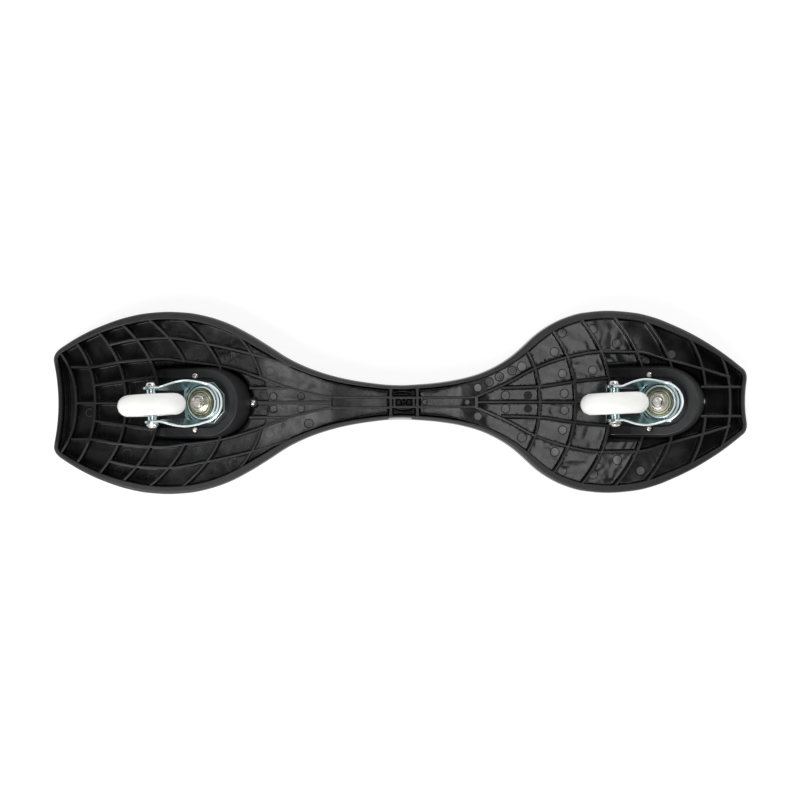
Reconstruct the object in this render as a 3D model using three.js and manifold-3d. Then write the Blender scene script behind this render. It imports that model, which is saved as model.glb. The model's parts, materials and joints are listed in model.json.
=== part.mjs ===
// Caster board lying on its deck with both wheels up.
// X runs from tail to nose, Y across the board, Z up; the floor is z = 0 and the unit is the millimetre.
// Each caster is built in its own frame, whose Z is the leaning kingpin and whose -X is the trailing side.

import * as THREE from 'three';
import { mergeVertices } from 'three/addons/utils/BufferGeometryUtils.js';
import Module from 'manifold-3d';

const wasm = await Module();
wasm.setup();

// Deck outline
const tailLength = 430; // tail tip to the middle of the neck
const noseLength = 420; // middle of the neck to the nose tip
const deckWidth = 222;
const neckWidth = 41.6;
const tailDip = 6.7; // the tail's end edge curves in by this much between its corners
const noseDip = 2.9;
const dipFade = 60; // the curve of an end edge dies out over this length

// Deck sections
const kickRise = 16; // the flat middle of the riding face stands this far above the tips
const kickLength = 135; // length of each tip that curves towards the floor
const deckDepth = 22; // riding face to the top of the rim
const tipDepth = 14;
const tipDepthLength = 100; // the rim grows from tip depth to full depth over this length
const skin = 3;
const rimWidth = 9.7;
const tipRimWidth = 6.5;
const neckRimWidth = 5;
const edgeRound = 4; // rounding where the rim meets the riding face
const shoulder = 4.2; // rounding at the outer side of the rim's top
const sideLeanShare = 0.2; // the rim's side draws in by this share of the shoulder
const rimFullShare = 0.62; // the rim is at full width where the deck has this share of its own

// Ribs
const ribThickness = 3;
const braceThickness = 3.4; // the two strong ribs across the neck
const ribDrop = 1.5; // rib tops lie this far below the rim's top
const ribBow = 2.35; // exponent of the cross ribs' curve
const ribOvershoot = 1.12; // share of a cross rib's reach that it is drawn to, the rim ends it
const ribSteps = 4;

// The neck is the part of the deck that twists
const neckTailReach = 89; // from the middle of the neck towards the tail
const neckNoseReach = 87;

// Caster seats: leaning wedges moulded into the deck
const tailAxisFromTip = 194.5; // tail tip to the foot of the kingpin axis
const noseAxisFromTip = 110;
const lean = THREE.MathUtils.degToRad(25); // kingpin axis away from vertical, towards the tail
const seatRise = 34; // foot of the kingpin axis above the riding face
const seatWall = 5; // wall under the mount plate
const lipHeight = 4; // rails and lip round the mount plate's recess
const lipRadius = 40;
const recessRadius = 29;
const wedgeBack = 59; // wedge's low end, behind the axis
const wedgeBaseFront = 54; // wedge's foot, ahead of the axis
const wedgeBaseSide = 45;
const wedgeSideWall = 4;
const wedgeSteps = 10;

// Foot pads: grip plates let into the riding face
const gripInset = 17; // deck edge to the pad's edge
const gripThickness = 2.2;
const gripProud = 1.2; // how far the pad stands out of the riding face
const tailGripEnds = [44, 282]; // distances from the tail tip
const noseGripEnds = [40, 276]; // distances from the nose tip
const gripRoundness = 7; // exponent that rounds the pad's ends
const gripEndShare = 0.02; // share of its squared width that the pad keeps at its very ends
const gripSteps = 14;
const postRadius = 4.5; // posts that rise inside a wedge
const frontPostRadius = 3.6; // post that rises through the skin
const pilotRadius = 1.75;

// Foot pad screws
const screwHeadRadius = 3.3;
const screwHeadHeight = 2.4;
const screwRadius = 1.6;
const sideScrewReach = 20; // length below the head
const frontScrewReach = 11;
const sideScrewBack = 15.7; // behind the foot of the kingpin axis
const sideScrewOut = 32.2;
const frontScrewAhead = 52;
const frontBossRadius = 5.2;
const frontBossHeight = 9; // above the skin
const spotFaceRadius = 4;

// Blank badge strip on the neck's side
const badgeLength = 28;
const badgeWidth = 3.4;
const badgeThickness = 0.6;
const badgeRecess = 0.6; // depth of its pocket
const badgeBack = 5; // behind the middle of the neck

// Swivel stack, measured along the kingpin from the mount plate's seat
const plateFlats = 48.5; // octagon across flats
const plateThickness = 3;
const raceInner = 10;
const raceOuter = 21.5;
const raceHeight = 3;
const raceGroove = 1;
const lowerBallRadius = 2.2;
const lowerBallCircle = 16;
const upperBallRadius = 1.4;
const upperBallCircle = 11.4;
const lowerBallCount = 8;
const upperBallCount = 7;
const cageThickness = 1.2;
const cageHalfWidth = 1.5;
const crownThickness = 2.6;
const crownRadius = 28;
const crownRimHeight = 3.4;
const crownBore = 8.6;
const crownBack = 24; // the crown's floor ends here, behind the kingpin
const cupOuter = 18.6;
const cupInner = 15.6;
const cupHeight = 2.2;
const coneRadius = 14;
const coneHubRadius = 10.2;
const coneThickness = 0.9;
const coneHubHeight = 0.9;
const kingpinRadius = 6;
const kingpinHeadFlats = 19;
const kingpinHeadHeight = 8;
const kingpinNutFlats = 18;
const kingpinNutHeight = 6.4;
const kingpinEnd = 1; // thread showing past the nut

// Fork legs and axle
const trail = 42; // kingpin axis to axle
const axleAboveCup = 42.2; // cup's top to the axle, along the kingpin
const legThickness = 2.8;
const legMiddle = 20; // wheel's middle to the middle of a leg, at the axle
const legEndRadius = 9;
const axleRadius = 3.95;
const axleHeadRadius = 6.9;
const axleHeadHeight = 5;
const axleNutFlats = 12.4;
const axleNutHeight = 5;
const axleEnd = 1.2; // thread showing past the nut
const spacerRadius = 5.5;

// Wheel
const wheelRadius = 40;
const wheelWidth = 25;
const treadSteps = 8;
const hubRimOuter = 25.6;
const hubRimInner = 21.8;
const hubRimWidth = 19;
const hubWebThickness = 7;
const hubBarrelRadius = 14.4;
const hubWidth = 24.4;
const hubBore = 8;
const windowCount = 5;
const windowRadius = 3;
const windowSides = 8;
const bearingOuter = 11;
const bearingBore = 4.2;
const bearingWidth = 7;
const sleeveOuter = 5.8;

// Swivel positions in which the two casters were left
const tailYaw = THREE.MathUtils.degToRad(3.2);
const noseYaw = THREE.MathUtils.degToRad(2.6);

// Fits
const gap = 0.3; // between pieces that seat on each other
const overrun = 2; // how far a cutting body runs past what it cuts
const farCut = 160; // reach of the bodies that cut right across a seat
const bite = 0.8; // how far joined bodies sink into each other
const weldDistance = 1e-4; // corners nearer to each other than this are one
const slopeStep = 4; // distance over which the outline's slope is taken
const fineSides = 30;
const hubSides = 20;
const roundSides = 20;
const smallSides = 10;

// Half-widths: [share of the half's length from its tip, share of the way from neck to full width]
const tailWidthShares = [
  [0, 0.371], [0.004, 0.426], [0.0143, 0.4885], [0.0371, 0.56], [0.0827, 0.683], [0.1397, 0.805],
  [0.2195, 0.93], [0.2765, 0.982], [0.3335, 1], [0.3905, 0.985], [0.4475, 0.932], [0.5046, 0.839],
  [0.5616, 0.701], [0.6186, 0.5345], [0.6756, 0.361], [0.7326, 0.234], [0.7896, 0.142],
  [0.8466, 0.077], [0.9037, 0.034], [0.9607, 0.0054], [1, 0],
];
const noseWidthShares = [
  [0, 0.0866], [0.0015, 0.138], [0.006, 0.192], [0.0193, 0.242], [0.0426, 0.3234], [0.0776, 0.438],
  [0.1243, 0.572], [0.1651, 0.678], [0.2235, 0.805], [0.2818, 0.911], [0.3401, 0.974],
  [0.413, 1], [0.486, 0.9716], [0.5443, 0.892], [0.5735, 0.828], [0.6027, 0.7456], [0.6318, 0.64],
  [0.661, 0.5115], [0.6902, 0.395], [0.7193, 0.3018], [0.7485, 0.2273], [0.7777, 0.1678],
  [0.8069, 0.123], [0.8652, 0.0622], [0.9236, 0.0257], [0.9819, 0.0054],
];

// Cross ribs: [middle, bow, reach, start] with the first two as shares of the half's length
// and the last two as shares of half the deck's width
const tailCrossShares = [
  [0.0713, 0.0428, 0.531, 0], [0.1277, 0.0487, 0.63, 0], [0.2158, 0.0733, 0.758, 0],
  [0.3093, 0.1023, 0.854, 0], [0.4048, 0.1217, 0.909, 0.435], [0.4974, 0.1212, 0.909, 0.343],
  [0.6043, 0.0721, 0.733, 0.28],
];
const noseCrossShares = [
  [0.0557, 0.0248, 0.481, 0], [0.1295, 0.0481, 0.701, 0.16], [0.2191, 0.0793, 0.855, 0.335],
  [0.3037, 0.089, 0.91, 0.345], [0.4058, 0.0791, 0.874, 0], [0.5064, 0.0642, 0.767, 0],
  [0.6094, 0.0353, 0.542, 0],
];

// Long ribs: rows of [share of the half's length from its tip, share of half the deck's width].
// Each has a twin on the other side of the middle, unless it runs along the middle.
const tailLongShares = [
  [[0.0713, 0], [0.3093, 0]],
  [[0.588, 0], [0.7925, 0]],
  [[0.1254, 0.193], [0.2081, 0.238], [0.305, 0.286]],
  [[0.057, 0.396], [0.1112, 0.393], [0.1967, 0.443], [0.2822, 0.4725], [0.3221, 0.479], [0.382, 0.4505],
    [0.4818, 0.401], [0.5844, 0.289], [0.6899, 0.143], [0.7925, 0.055]],
  [[0.171, 0.635], [0.248, 0.692], [0.3335, 0.7066], [0.4418, 0.643], [0.533, 0.567], [0.6428, 0.4505],
    [0.6813, 0.401]],
  [[0.5644, 0.159], [0.68, 0.159]],
  [[0.7925, 0.056], [0.9618, 0.056]],
];
const noseLongShares = [
  [[0.4058, 0], [0.7937, 0]],
  [[0.9624, 0.05], [0.83, 0.05], [0.7937, 0.01]],
  [[0.7937, 0.01], [0.7865, 0.068], [0.7019, 0.197], [0.6231, 0.365], [0.5283, 0.49], [0.4341, 0.546],
    [0.3323, 0.541], [0.2322, 0.443], [0.1418, 0.359], [0.0557, 0.268]],
  [[0.7193, 0.154], [0.6114, 0.169], [0.5093, 0.223], [0.4102, 0.26]],
  [[0.1447, 0.16], [0.012, 0.16]],
];

// Straight ribs across the neck: [half, share of its length from its tip, share of half the deck's width]
const neckCrossShares = [['tail', 0.7925, 0.08], ['tail', 0.972, 0.05], ['nose', 0.999, 0.05], ['nose', 0.973, 0.05]];
const neckBraceShares = [['tail', 0.9618, 0.3], ['nose', 0.9624, 0.3]];
const neckBarShare = 0.05; // distance of the two bars between the braces from the middle

// A fork leg's rows: shares of the way from the crown to the axle, of its height, front edge and rear edge,
// and the share by which the sheet is spread from its place at the axle to the crown's rim
const legShares = [
  [0, 0, 0, 0.85], [0.15, 0.07, 0.12, 1], [0.42, 0.28, 0.39, 0.85], [0.74, 0.66, 0.69, 0.36], [1, 0.92, 0.93, 0],
];
const legEndTurns = [0, 0.25, 0.42]; // half turns at which the round end is drawn

const halfBoard = (tailLength + noseLength) / 2;
const halfDeck = deckWidth / 2;
const neckX = tailLength - halfBoard;
const rimTop = kickRise + deckDepth;

// Materials
const material = (color, roughness, metalness) => new THREE.MeshStandardMaterial({ color, roughness, metalness });
const deckPlastic = material('#29292b', 0.5, 0);
const gripRubber = material('#1d1d1e', 0.85, 0);
const zinc = material('#a9bcc2', 0.3, 0.9);
const steel = material('#9a968c', 0.35, 0.9);
const oliveZinc = material('#a8a288', 0.4, 0.8);
const bearingSteel = material('#8d9094', 0.3, 0.9);
const whiteTyre = material('#f2f2ee', 0.45, 0);
const hubPlastic = material('#ecece8', 0.4, 0);
const badgeSatin = material('#9b9c9e', 0.4, 0.2);

// Shapes and solids

// A closed solid from any closed three.js geometry
function solid(geometry) {
  const bare = geometry.clone();
  bare.deleteAttribute('normal');
  bare.deleteAttribute('uv');
  const merged = mergeVertices(bare, weldDistance);
  const index = [];
  for (let i = 0; i < merged.index.count; i += 3) {
    const [a, b, c] = [0, 1, 2].map((k) => merged.index.getX(i + k));
    if (a !== b && b !== c && c !== a) index.push(a, b, c);
  }
  return new wasm.Manifold(new wasm.Mesh({
    numProp: 3,
    vertProperties: new Float32Array(merged.attributes.position.array),
    triVerts: new Uint32Array(index),
  }));
}

// A three.js geometry from a solid
function shaped(body) {
  const mesh = body.getMesh();
  const geometry = new THREE.BufferGeometry();
  geometry.setAttribute('position', new THREE.BufferAttribute(new Float32Array(mesh.vertProperties), 3));
  geometry.setIndex(new THREE.BufferAttribute(new Uint32Array(mesh.triVerts), 1));
  geometry.computeVertexNormals();
  return geometry;
}

const joined = (bodies) => bodies.reduce((all, body) => all.add(body));

// A closed body through rings of points, each with as many points, its two ends closed flat.
// flatten turns a point into the two coordinates in which an end's ring is a plain outline.
function loft(rings, flatten) {
  const count = rings[0].length;
  const points = rings.flat();
  const index = [];
  for (let k = 0; k + 1 < rings.length; k += 1) {
    for (let i = 0; i < count; i += 1) {
      const j = (i + 1) % count;
      const [a, b, c, d] = [k * count + i, k * count + j, (k + 1) * count + j, (k + 1) * count + i];
      index.push(a, b, c, a, c, d);
    }
  }
  const cap = (start, turned) => {
    const outline = rings[start / count].map(flatten);
    const clockwise = THREE.ShapeUtils.isClockWise(outline);
    for (const face of THREE.ShapeUtils.triangulateShape(outline, [])) {
      const [a, b, c] = face.map((i) => start + i);
      index.push(...(turned !== clockwise ? [a, c, b] : [a, b, c]));
    }
  };
  const before = index.length;
  cap(0, true);
  const first = index.slice(before);
  // the first end has to run against the sides' own edges, so it is turned round where it does not
  if (!runsAgainst(first, index.slice(0, before))) flip(index, before, index.length);
  const middle = index.length;
  cap((rings.length - 1) * count, false);
  if (!runsAgainst(index.slice(middle), index.slice(0, before))) flip(index, middle, index.length);
  if (signedVolume(points, index) < 0) flip(index, 0, index.length);
  const geometry = new THREE.BufferGeometry();
  geometry.setAttribute('position', new THREE.Float32BufferAttribute(points.flatMap((p) => p.toArray()), 3));
  geometry.setIndex(index);
  return geometry;
}

function runsAgainst(faces, sides) {
  const edges = new Set();
  for (let i = 0; i < sides.length; i += 3) {
    for (let k = 0; k < 3; k += 1) edges.add(`${sides[i + k]} ${sides[i + ((k + 1) % 3)]}`);
  }
  for (let i = 0; i < faces.length; i += 3) {
    for (let k = 0; k < 3; k += 1) {
      if (edges.has(`${faces[i + k]} ${faces[i + ((k + 1) % 3)]}`)) return false;
    }
  }
  return true;
}

function flip(index, start, end) {
  for (let i = start; i < end; i += 3) [index[i + 1], index[i + 2]] = [index[i + 2], index[i + 1]];
}

function signedVolume(points, index) {
  let six = 0;
  for (let i = 0; i < index.length; i += 3) {
    const [a, b, c] = [0, 1, 2].map((k) => points[index[i + k]]);
    six += a.dot(new THREE.Vector3().crossVectors(b, c));
  }
  return six / 6;
}

const v3 = (x, y, z) => new THREE.Vector3(x, y, z);
const v2 = (x, y) => new THREE.Vector2(x, y);
const seenAlongX = (p) => v2(p.y, p.z);
const seenAlongZ = (p) => v2(p.x, p.y);

// An outline in plan, extruded from one height to another
function prism(outline, low, high, holes = []) {
  const shape = new THREE.Shape(outline);
  shape.holes = holes.map((hole) => new THREE.Path(hole));
  const geometry = new THREE.ExtrudeGeometry(shape, { depth: high - low, bevelEnabled: false });
  return geometry.translate(0, 0, low);
}

const circle = (radius, sides, turn = 0) => Array.from({ length: sides }, (_, i) => {
  const angle = turn + (i / sides) * 2 * Math.PI;
  return v2(radius * Math.cos(angle), radius * Math.sin(angle));
});

// A polygon with flats on ±X, given across its flats
const flatsOutline = (flats, sides) => circle(flats / 2 / Math.cos(Math.PI / sides), sides, Math.PI / sides);

const rod = (radius, low, high, sides) => prism(circle(radius, sides), low, high);

// A body turned round Z from rows of [radius, height]
function turned(profile, sides) {
  const closed = [...profile, profile[0]];
  return new THREE.LatheGeometry(closed.map(([r, z]) => v2(r, z)), sides).rotateX(Math.PI / 2);
}

// Deck shape along the board

function shareAt(rows, share) {
  const last = rows.length - 1;
  const k = Math.min(Math.max(rows.findIndex(([s]) => s > share) - 1, 0), last - 1);
  const row = share >= rows[last][0] ? last - 1 : k;
  const [[s0, v0], [s1, v1]] = [rows[row], rows[row + 1]];
  return v0 + ((v1 - v0) * (share - s0)) / (s1 - s0);
}

const tailX = (share) => -halfBoard + share * tailLength;
const noseX = (share) => halfBoard - share * noseLength;
const tailShare = (x) => (x + halfBoard) / tailLength;
const noseShare = (x) => (halfBoard - x) / noseLength;
const fromTip = (x) => halfBoard - Math.abs(x);

function halfWidth(x) {
  const share = x < neckX ? shareAt(tailWidthShares, tailShare(x)) : shareAt(noseWidthShares, noseShare(x));
  return neckWidth / 2 + share * (halfDeck - neckWidth / 2);
}

// Height of the riding face: flat in the middle, a parabola down to the floor at each tip
function rideHeight(x) {
  const into = Math.max(0, 1 - fromTip(x) / kickLength);
  return kickRise * (1 - into * into);
}

function rimHeight(x) {
  const grown = Math.min(1, fromTip(x) / tipDepthLength);
  return rideHeight(x) + tipDepth + (deckDepth - tipDepth) * (1 - (1 - grown) ** 2);
}

// The rim is widest at the platforms, and narrower at the tips and along the neck
function rimAt(x) {
  const wide = (halfWidth(x) - neckWidth / 2) / (halfDeck - neckWidth / 2);
  const inner = neckRimWidth + (rimWidth - neckRimWidth) * Math.min(1, wide / rimFullShare);
  const grown = Math.min(1, fromTip(x) / tipDepthLength);
  return tipRimWidth + (inner - tipRimWidth) * grown;
}

// Half-width of the hollow inside the rim, square to the edge
function innerHalf(x) {
  const slope = (halfWidth(x + slopeStep) - halfWidth(x - slopeStep)) / (2 * slopeStep);
  return halfWidth(x) - rimAt(x) * Math.sqrt(1 + slope * slope);
}

// How far a point of a ring is drawn along X, so that the end edges curve in
function dipAt(x, across) {
  const dip = x < 0 ? tailDip : -noseDip;
  const left = Math.max(0, 1 - fromTip(x) / dipFade);
  return dip * left * (1 - across * across);
}

const acrossShares = [-1, -0.5, 0, 0.5, 1];

// A ring round the deck's full section at x
function outerRing(x) {
  const half = halfWidth(x);
  const [low, high] = [rideHeight(x), rimHeight(x)];
  const at = (y, z) => v3(x + dipAt(x, y / half), y, z);
  const side = [[half, low + edgeRound], [half - sideLeanShare * shoulder, high - shoulder]];
  return [
    ...acrossShares.map((s) => at(s * (half - edgeRound), low)),
    ...side.map(([y, z]) => at(y, z)),
    ...acrossShares.map((s) => at(-s * (half - shoulder), high)),
    ...side.reverse().map(([y, z]) => at(-y, z)),
  ];
}

// A ring round a flat-sided section of the deck's inside
function innerRing(x, half, low, high) {
  const at = (s, z) => v3(x + dipAt(x, s), s * half, z);
  return [...acrossShares.map((s) => at(s, low)), ...acrossShares.map((s) => at(-s, high))];
}

const rowXs = [
  ...tailWidthShares.map(([s]) => tailX(s)),
  ...noseWidthShares.map(([s]) => noseX(s)).reverse(),
];
const insideXs = [
  -halfBoard + tipRimWidth,
  ...rowXs.filter((x) => fromTip(x) > tipRimWidth + rimWidth),
  halfBoard - tipRimWidth,
];

const deckBlock = () => solid(loft(rowXs.map(outerRing), seenAlongX));

const deckHollow = () => solid(loft(insideXs.map((x) => (
  innerRing(x, innerHalf(x), rideHeight(x) + skin, rimHeight(x) + overrun))), seenAlongX));

// Everything under the middle of the skin, which ends what stands on the skin
const underSkin = () => solid(loft(rowXs.map((x) => (
  innerRing(x, halfDeck, -overrun, rideHeight(x) + bite))), seenAlongX));

const ribSpace = () => solid(loft(insideXs.map((x) => (
  innerRing(x, innerHalf(x) + bite, rideHeight(x) + skin - bite, rimHeight(x) - ribDrop))), seenAlongX));

// Ribs

// A strip of even thickness along a line in plan, tall enough for the whole deck
function ribStrip(line, thickness) {
  const sides = [1, -1].map((hand) => line.map((point, i) => {
    const [before, after] = [line[Math.max(i - 1, 0)], line[Math.min(i + 1, line.length - 1)]];
    const along = after.clone().sub(before).normalize();
    return v2(point.x - (hand * along.y * thickness) / 2, point.y + (hand * along.x * thickness) / 2);
  }));
  return solid(prism([...sides[0], ...sides[1].reverse()], 0, rimTop + overrun));
}

const mirrored = (line) => line.map((p) => v2(p.x, -p.y));

// One cross rib: its middle lies nearest the nose, and both ends curve back towards the tail
function crossRib([middle, bow, reach, start], xOf, length) {
  const lineOf = (from, to, steps) => Array.from({ length: steps + 1 }, (_, i) => {
    const across = from + ((to - from) * i) / steps;
    const back = bow * length * (Math.abs(across) / reach) ** ribBow;
    return v2(xOf(middle) - back, across * halfDeck);
  });
  const end = reach * ribOvershoot;
  if (start === 0) return [lineOf(-end, end, 2 * ribSteps)];
  const line = lineOf(start, end, ribSteps);
  return [line, mirrored(line)];
}

function longRib(rows, xOf) {
  const line = rows.map(([along, across]) => v2(xOf(along), across * halfDeck));
  return rows.every(([, across]) => across === 0) ? [line] : [line, mirrored(line)];
}

function neckRib([half, along, across]) {
  const x = half === 'tail' ? tailX(along) : noseX(along);
  return [v2(x, -across * halfDeck), v2(x, across * halfDeck)];
}

function deckRibs() {
  const lines = [
    ...tailCrossShares.flatMap((row) => crossRib(row, tailX, tailLength)),
    ...noseCrossShares.flatMap((row) => crossRib(row, noseX, noseLength)),
    ...tailLongShares.flatMap((rows) => longRib(rows, tailX)),
    ...noseLongShares.flatMap((rows) => longRib(rows, noseX)),
    ...neckCrossShares.map(neckRib),
  ];
  const braces = neckBraceShares.map(neckRib);
  const [barStart, barEnd] = braces.map((line) => line[0].x);
  for (const y of [-neckBarShare * halfDeck, neckBarShare * halfDeck]) lines.push([v2(barStart, y), v2(barEnd, y)]);
  return joined([
    ...lines.map((line) => ribStrip(line, ribThickness)),
    ...braces.map((line) => ribStrip(line, braceThickness)),
  ]).intersect(ribSpace());
}

// Caster seats

const seatZ = kickRise + seatRise;
const tailFootX = -halfBoard + tailAxisFromTip;
const noseFootX = halfBoard - noseAxisFromTip;

// Places a body made in the caster's own frame
const inCasterFrame = (geometry, footX) => geometry.rotateY(-lean).translate(footX, 0, seatZ);

// The wedge's outline at a height: an ellipse's front half with straight sides that run back.
// inset draws its wall inwards.
function wedgeRing(footX, z, inset) {
  const lipX = lipRadius * Math.cos(lean);
  const lipZ = seatZ + lipRadius * Math.sin(lean);
  const baseZ = kickRise + skin;
  const grown = (z - baseZ) / (lipZ - baseZ);
  const front = wedgeBaseFront + (lipX - wedgeBaseFront) * grown - inset;
  const side = wedgeBaseSide + (lipRadius - wedgeBaseSide) * grown - inset;
  const arc = Array.from({ length: wedgeSteps + 1 }, (_, i) => {
    const angle = Math.PI * (i / wedgeSteps - 0.5);
    return v3(footX + front * Math.cos(angle), side * Math.sin(angle), z);
  });
  const back = footX - wedgeBack + inset;
  return [...arc, v3(back, side, z), v3(back, -side, z)];
}

function wedge(footX, inset, planeHeight) {
  const [low, high] = [-overrun, seatZ + lipRadius];
  const block = solid(loft([wedgeRing(footX, low, inset), wedgeRing(footX, high, inset)], seenAlongZ));
  const around = circle(farCut, 4);
  const below = solid(inCasterFrame(prism(around, planeHeight - farCut, planeHeight), footX));
  return block.intersect(below);
}

// The recess round the mount plate: round towards the nose and open towards the tail
function recess(footX) {
  const arc = Array.from({ length: wedgeSteps + 1 }, (_, i) => {
    const angle = Math.PI * (i / wedgeSteps - 0.5);
    return v2(recessRadius * Math.cos(angle), recessRadius * Math.sin(angle));
  });
  const outline = [...arc, v2(-farCut, recessRadius), v2(-farCut, -recessRadius)];
  return solid(inCasterFrame(prism(outline, 0, farCut), footX));
}

const sideScrewZ = seatZ + lipHeight / Math.cos(lean) - (sideScrewBack + spotFaceRadius) * Math.tan(lean);
const frontScrewZ = (x) => rideHeight(x) + skin + frontBossHeight;

const screwPlaces = (footX) => [
  { name: 'left', reach: sideScrewReach, at: v3(footX - sideScrewBack, sideScrewOut, sideScrewZ) },
  { name: 'right', reach: sideScrewReach, at: v3(footX - sideScrewBack, -sideScrewOut, sideScrewZ) },
  { name: 'front', reach: frontScrewReach,
    at: v3(footX + frontScrewAhead, 0, frontScrewZ(footX + frontScrewAhead)) },
];

const standing = (geometry, place) => solid(geometry.translate(place.x, place.y, 0));

function addSeat(deck, footX) {
  const places = screwPlaces(footX);
  const front = places[2].at;
  let body = deck
    .add(wedge(footX, 0, lipHeight).subtract(underSkin()).subtract(recess(footX)))
    .add(standing(rod(frontBossRadius, rideHeight(front.x) + bite, front.z, smallSides), front))
    .subtract(wedge(footX, wedgeSideWall, -seatWall))
    .subtract(solid(inCasterFrame(rod(kingpinRadius + gap, -farCut, farCut, roundSides), footX)));
  for (const { at } of places) {
    body = body
      .subtract(standing(rod(spotFaceRadius, at.z, at.z + farCut, smallSides), at))
      .subtract(standing(rod(screwRadius + gap, 0, at.z + overrun, smallSides), at));
  }
  const postBore = rod(frontPostRadius + gap, 0, rideHeight(front.x) + skin + gap, smallSides);
  return body.subtract(standing(postBore, front));
}

// Foot pads

function gripHalf(x, [start, end], inset) {
  const reach = (x - (start + end) / 2) / ((end - start) / 2);
  return (halfWidth(x) - inset) * Math.sqrt(Math.max(gripEndShare, 1 - Math.abs(reach) ** gripRoundness));
}

// The pad's plate, or with spare the pocket that it lies in
function gripPlate([start, end], low, high, spare) {
  const rings = Array.from({ length: gripSteps + 1 }, (_, i) => {
    const share = (1 - Math.cos((Math.PI * i) / gripSteps)) / 2;
    const x = start + (end - start) * share;
    const half = gripHalf(x, [start, end], gripInset) + spare;
    const along = x + spare * Math.sign(share - 0.5);
    const ride = rideHeight(x);
    return [v3(along, -half, ride + low), v3(along, half, ride + low), v3(along, half, ride + high),
      v3(along, -half, ride + high)];
  });
  return solid(loft(rings, seenAlongX));
}

const gripTop = gripThickness - gripProud; // above the riding face

function footPad(ends, footX) {
  let pad = gripPlate(ends, -gripProud, gripTop, 0);
  for (const { at } of screwPlaces(footX)) {
    const ride = rideHeight(at.x);
    const ceiling = seatZ - seatWall / Math.cos(lean) + (at.x - postRadius - footX) * Math.tan(lean) - gap;
    const hollow = at.x < footX;
    const [radius, top] = hollow ? [postRadius, ceiling] : [frontPostRadius, ride + skin];
    pad = pad
      .add(standing(rod(radius, ride, top, smallSides), at))
      .subtract(standing(rod(pilotRadius, ride, top + overrun, smallSides), at));
  }
  return pad;
}

// Badge strip, let into the shoulder on the -Y side of the neck. Heights are from the shoulder's face.

function onNeckShoulder(length, width, low, high) {
  const slope = Math.atan2(1, 1 - sideLeanShare);
  const x = neckX - badgeBack;
  const out = halfWidth(x) - (shoulder * (1 + sideLeanShare)) / 2;
  return new THREE.BoxGeometry(length, width, high - low)
    .translate(0, 0, (low + high) / 2)
    .rotateX(slope)
    .translate(x, -out, rimHeight(x) - shoulder / 2);
}

const badgePocket = () => onNeckShoulder(badgeLength + 2 * gap, badgeWidth + 2 * gap, -badgeRecess, overrun);
const badgeStrip = () => onNeckShoulder(badgeLength, badgeWidth, gap - badgeRecess, gap - badgeRecess + badgeThickness);

// The deck in three lengths that meet face to face

const tailEnds = tailGripEnds.map((d) => -halfBoard + d);
const noseEnds = noseGripEnds.map((d) => halfBoard - d).reverse();

function wholeDeck() {
  let deck = deckBlock().subtract(deckHollow()).add(deckRibs());
  deck = addSeat(deck, tailFootX);
  deck = addSeat(deck, noseFootX);
  return deck
    .subtract(gripPlate(tailEnds, -overrun, gripTop + gap, gap))
    .subtract(gripPlate(noseEnds, -overrun, gripTop + gap, gap))
    .subtract(solid(badgePocket()));
}

function lengthOf(deck, start, end) {
  const geometry = new THREE.BoxGeometry(end - start, 2 * deckWidth, 4 * rimTop);
  return deck.intersect(solid(geometry.translate((start + end) / 2, 0, rimTop)));
}

// Caster pieces, each in the caster's own frame

const plateTop = gap + plateThickness;
const raceLow = plateTop + gap;
const raceTop = raceLow + raceHeight;
const lowerBallHeight = raceTop - raceGroove + gap + lowerBallRadius;
const crownLow = lowerBallHeight + lowerBallRadius + gap;
const crownTop = crownLow + crownThickness;
const cupTop = crownTop + cupHeight;
const upperBallHeight = crownTop + gap + upperBallRadius;
const coneLow = upperBallHeight + upperBallRadius + gap;
const coneTop = coneLow + coneThickness + coneHubHeight;
const nutLow = coneTop + gap;
const nutTop = nutLow + kingpinNutHeight;
const axleHeight = cupTop + axleAboveCup;
const pinBore = kingpinRadius + gap;

const mountPlate = () => prism(flatsOutline(plateFlats, 8), gap, plateTop, [circle(pinBore, roundSides)]);

const lowerRace = () => turned([
  [raceInner, raceLow], [raceOuter, raceLow], [raceOuter, raceTop], [lowerBallCircle + lowerBallRadius, raceTop],
  [lowerBallCircle, raceTop - raceGroove], [lowerBallCircle - lowerBallRadius, raceTop], [raceInner, raceTop],
], roundSides);

function ballRing(radius, circleRadius, height, count) {
  const half = cageThickness / 2;
  const [inner, outer] = [circleRadius - cageHalfWidth, circleRadius + cageHalfWidth];
  const cage = turned([[inner, -half], [outer, -half], [outer, half], [inner, half]], count);
  const balls = circle(circleRadius, count).map((p) => (
    solid(new THREE.IcosahedronGeometry(radius, 0).translate(p.x, p.y, 0))));
  return shaped(joined([solid(cage), ...balls])).translate(0, 0, height);
}

const lowerBalls = () => ballRing(lowerBallRadius, lowerBallCircle, lowerBallHeight, lowerBallCount);
const upperBalls = () => ballRing(upperBallRadius, upperBallCircle, upperBallHeight, upperBallCount);

const topCone = () => turned([
  [pinBore, coneLow], [coneRadius, coneLow], [coneRadius, coneLow + coneThickness],
  [coneHubRadius, coneLow + coneThickness], [coneHubRadius, coneTop], [pinBore, coneTop],
], roundSides);

const kingpinNut = () => prism(flatsOutline(kingpinNutFlats, 6), nutLow, nutTop, [circle(pinBore, roundSides)]);

function kingpinBolt() {
  const head = prism(flatsOutline(kingpinHeadFlats, 6), -seatWall - gap - kingpinHeadHeight, -seatWall - gap);
  const shank = rod(kingpinRadius, -seatWall - gap - bite, nutTop + kingpinEnd, roundSides);
  return shaped(solid(head).add(solid(shank)));
}

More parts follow.
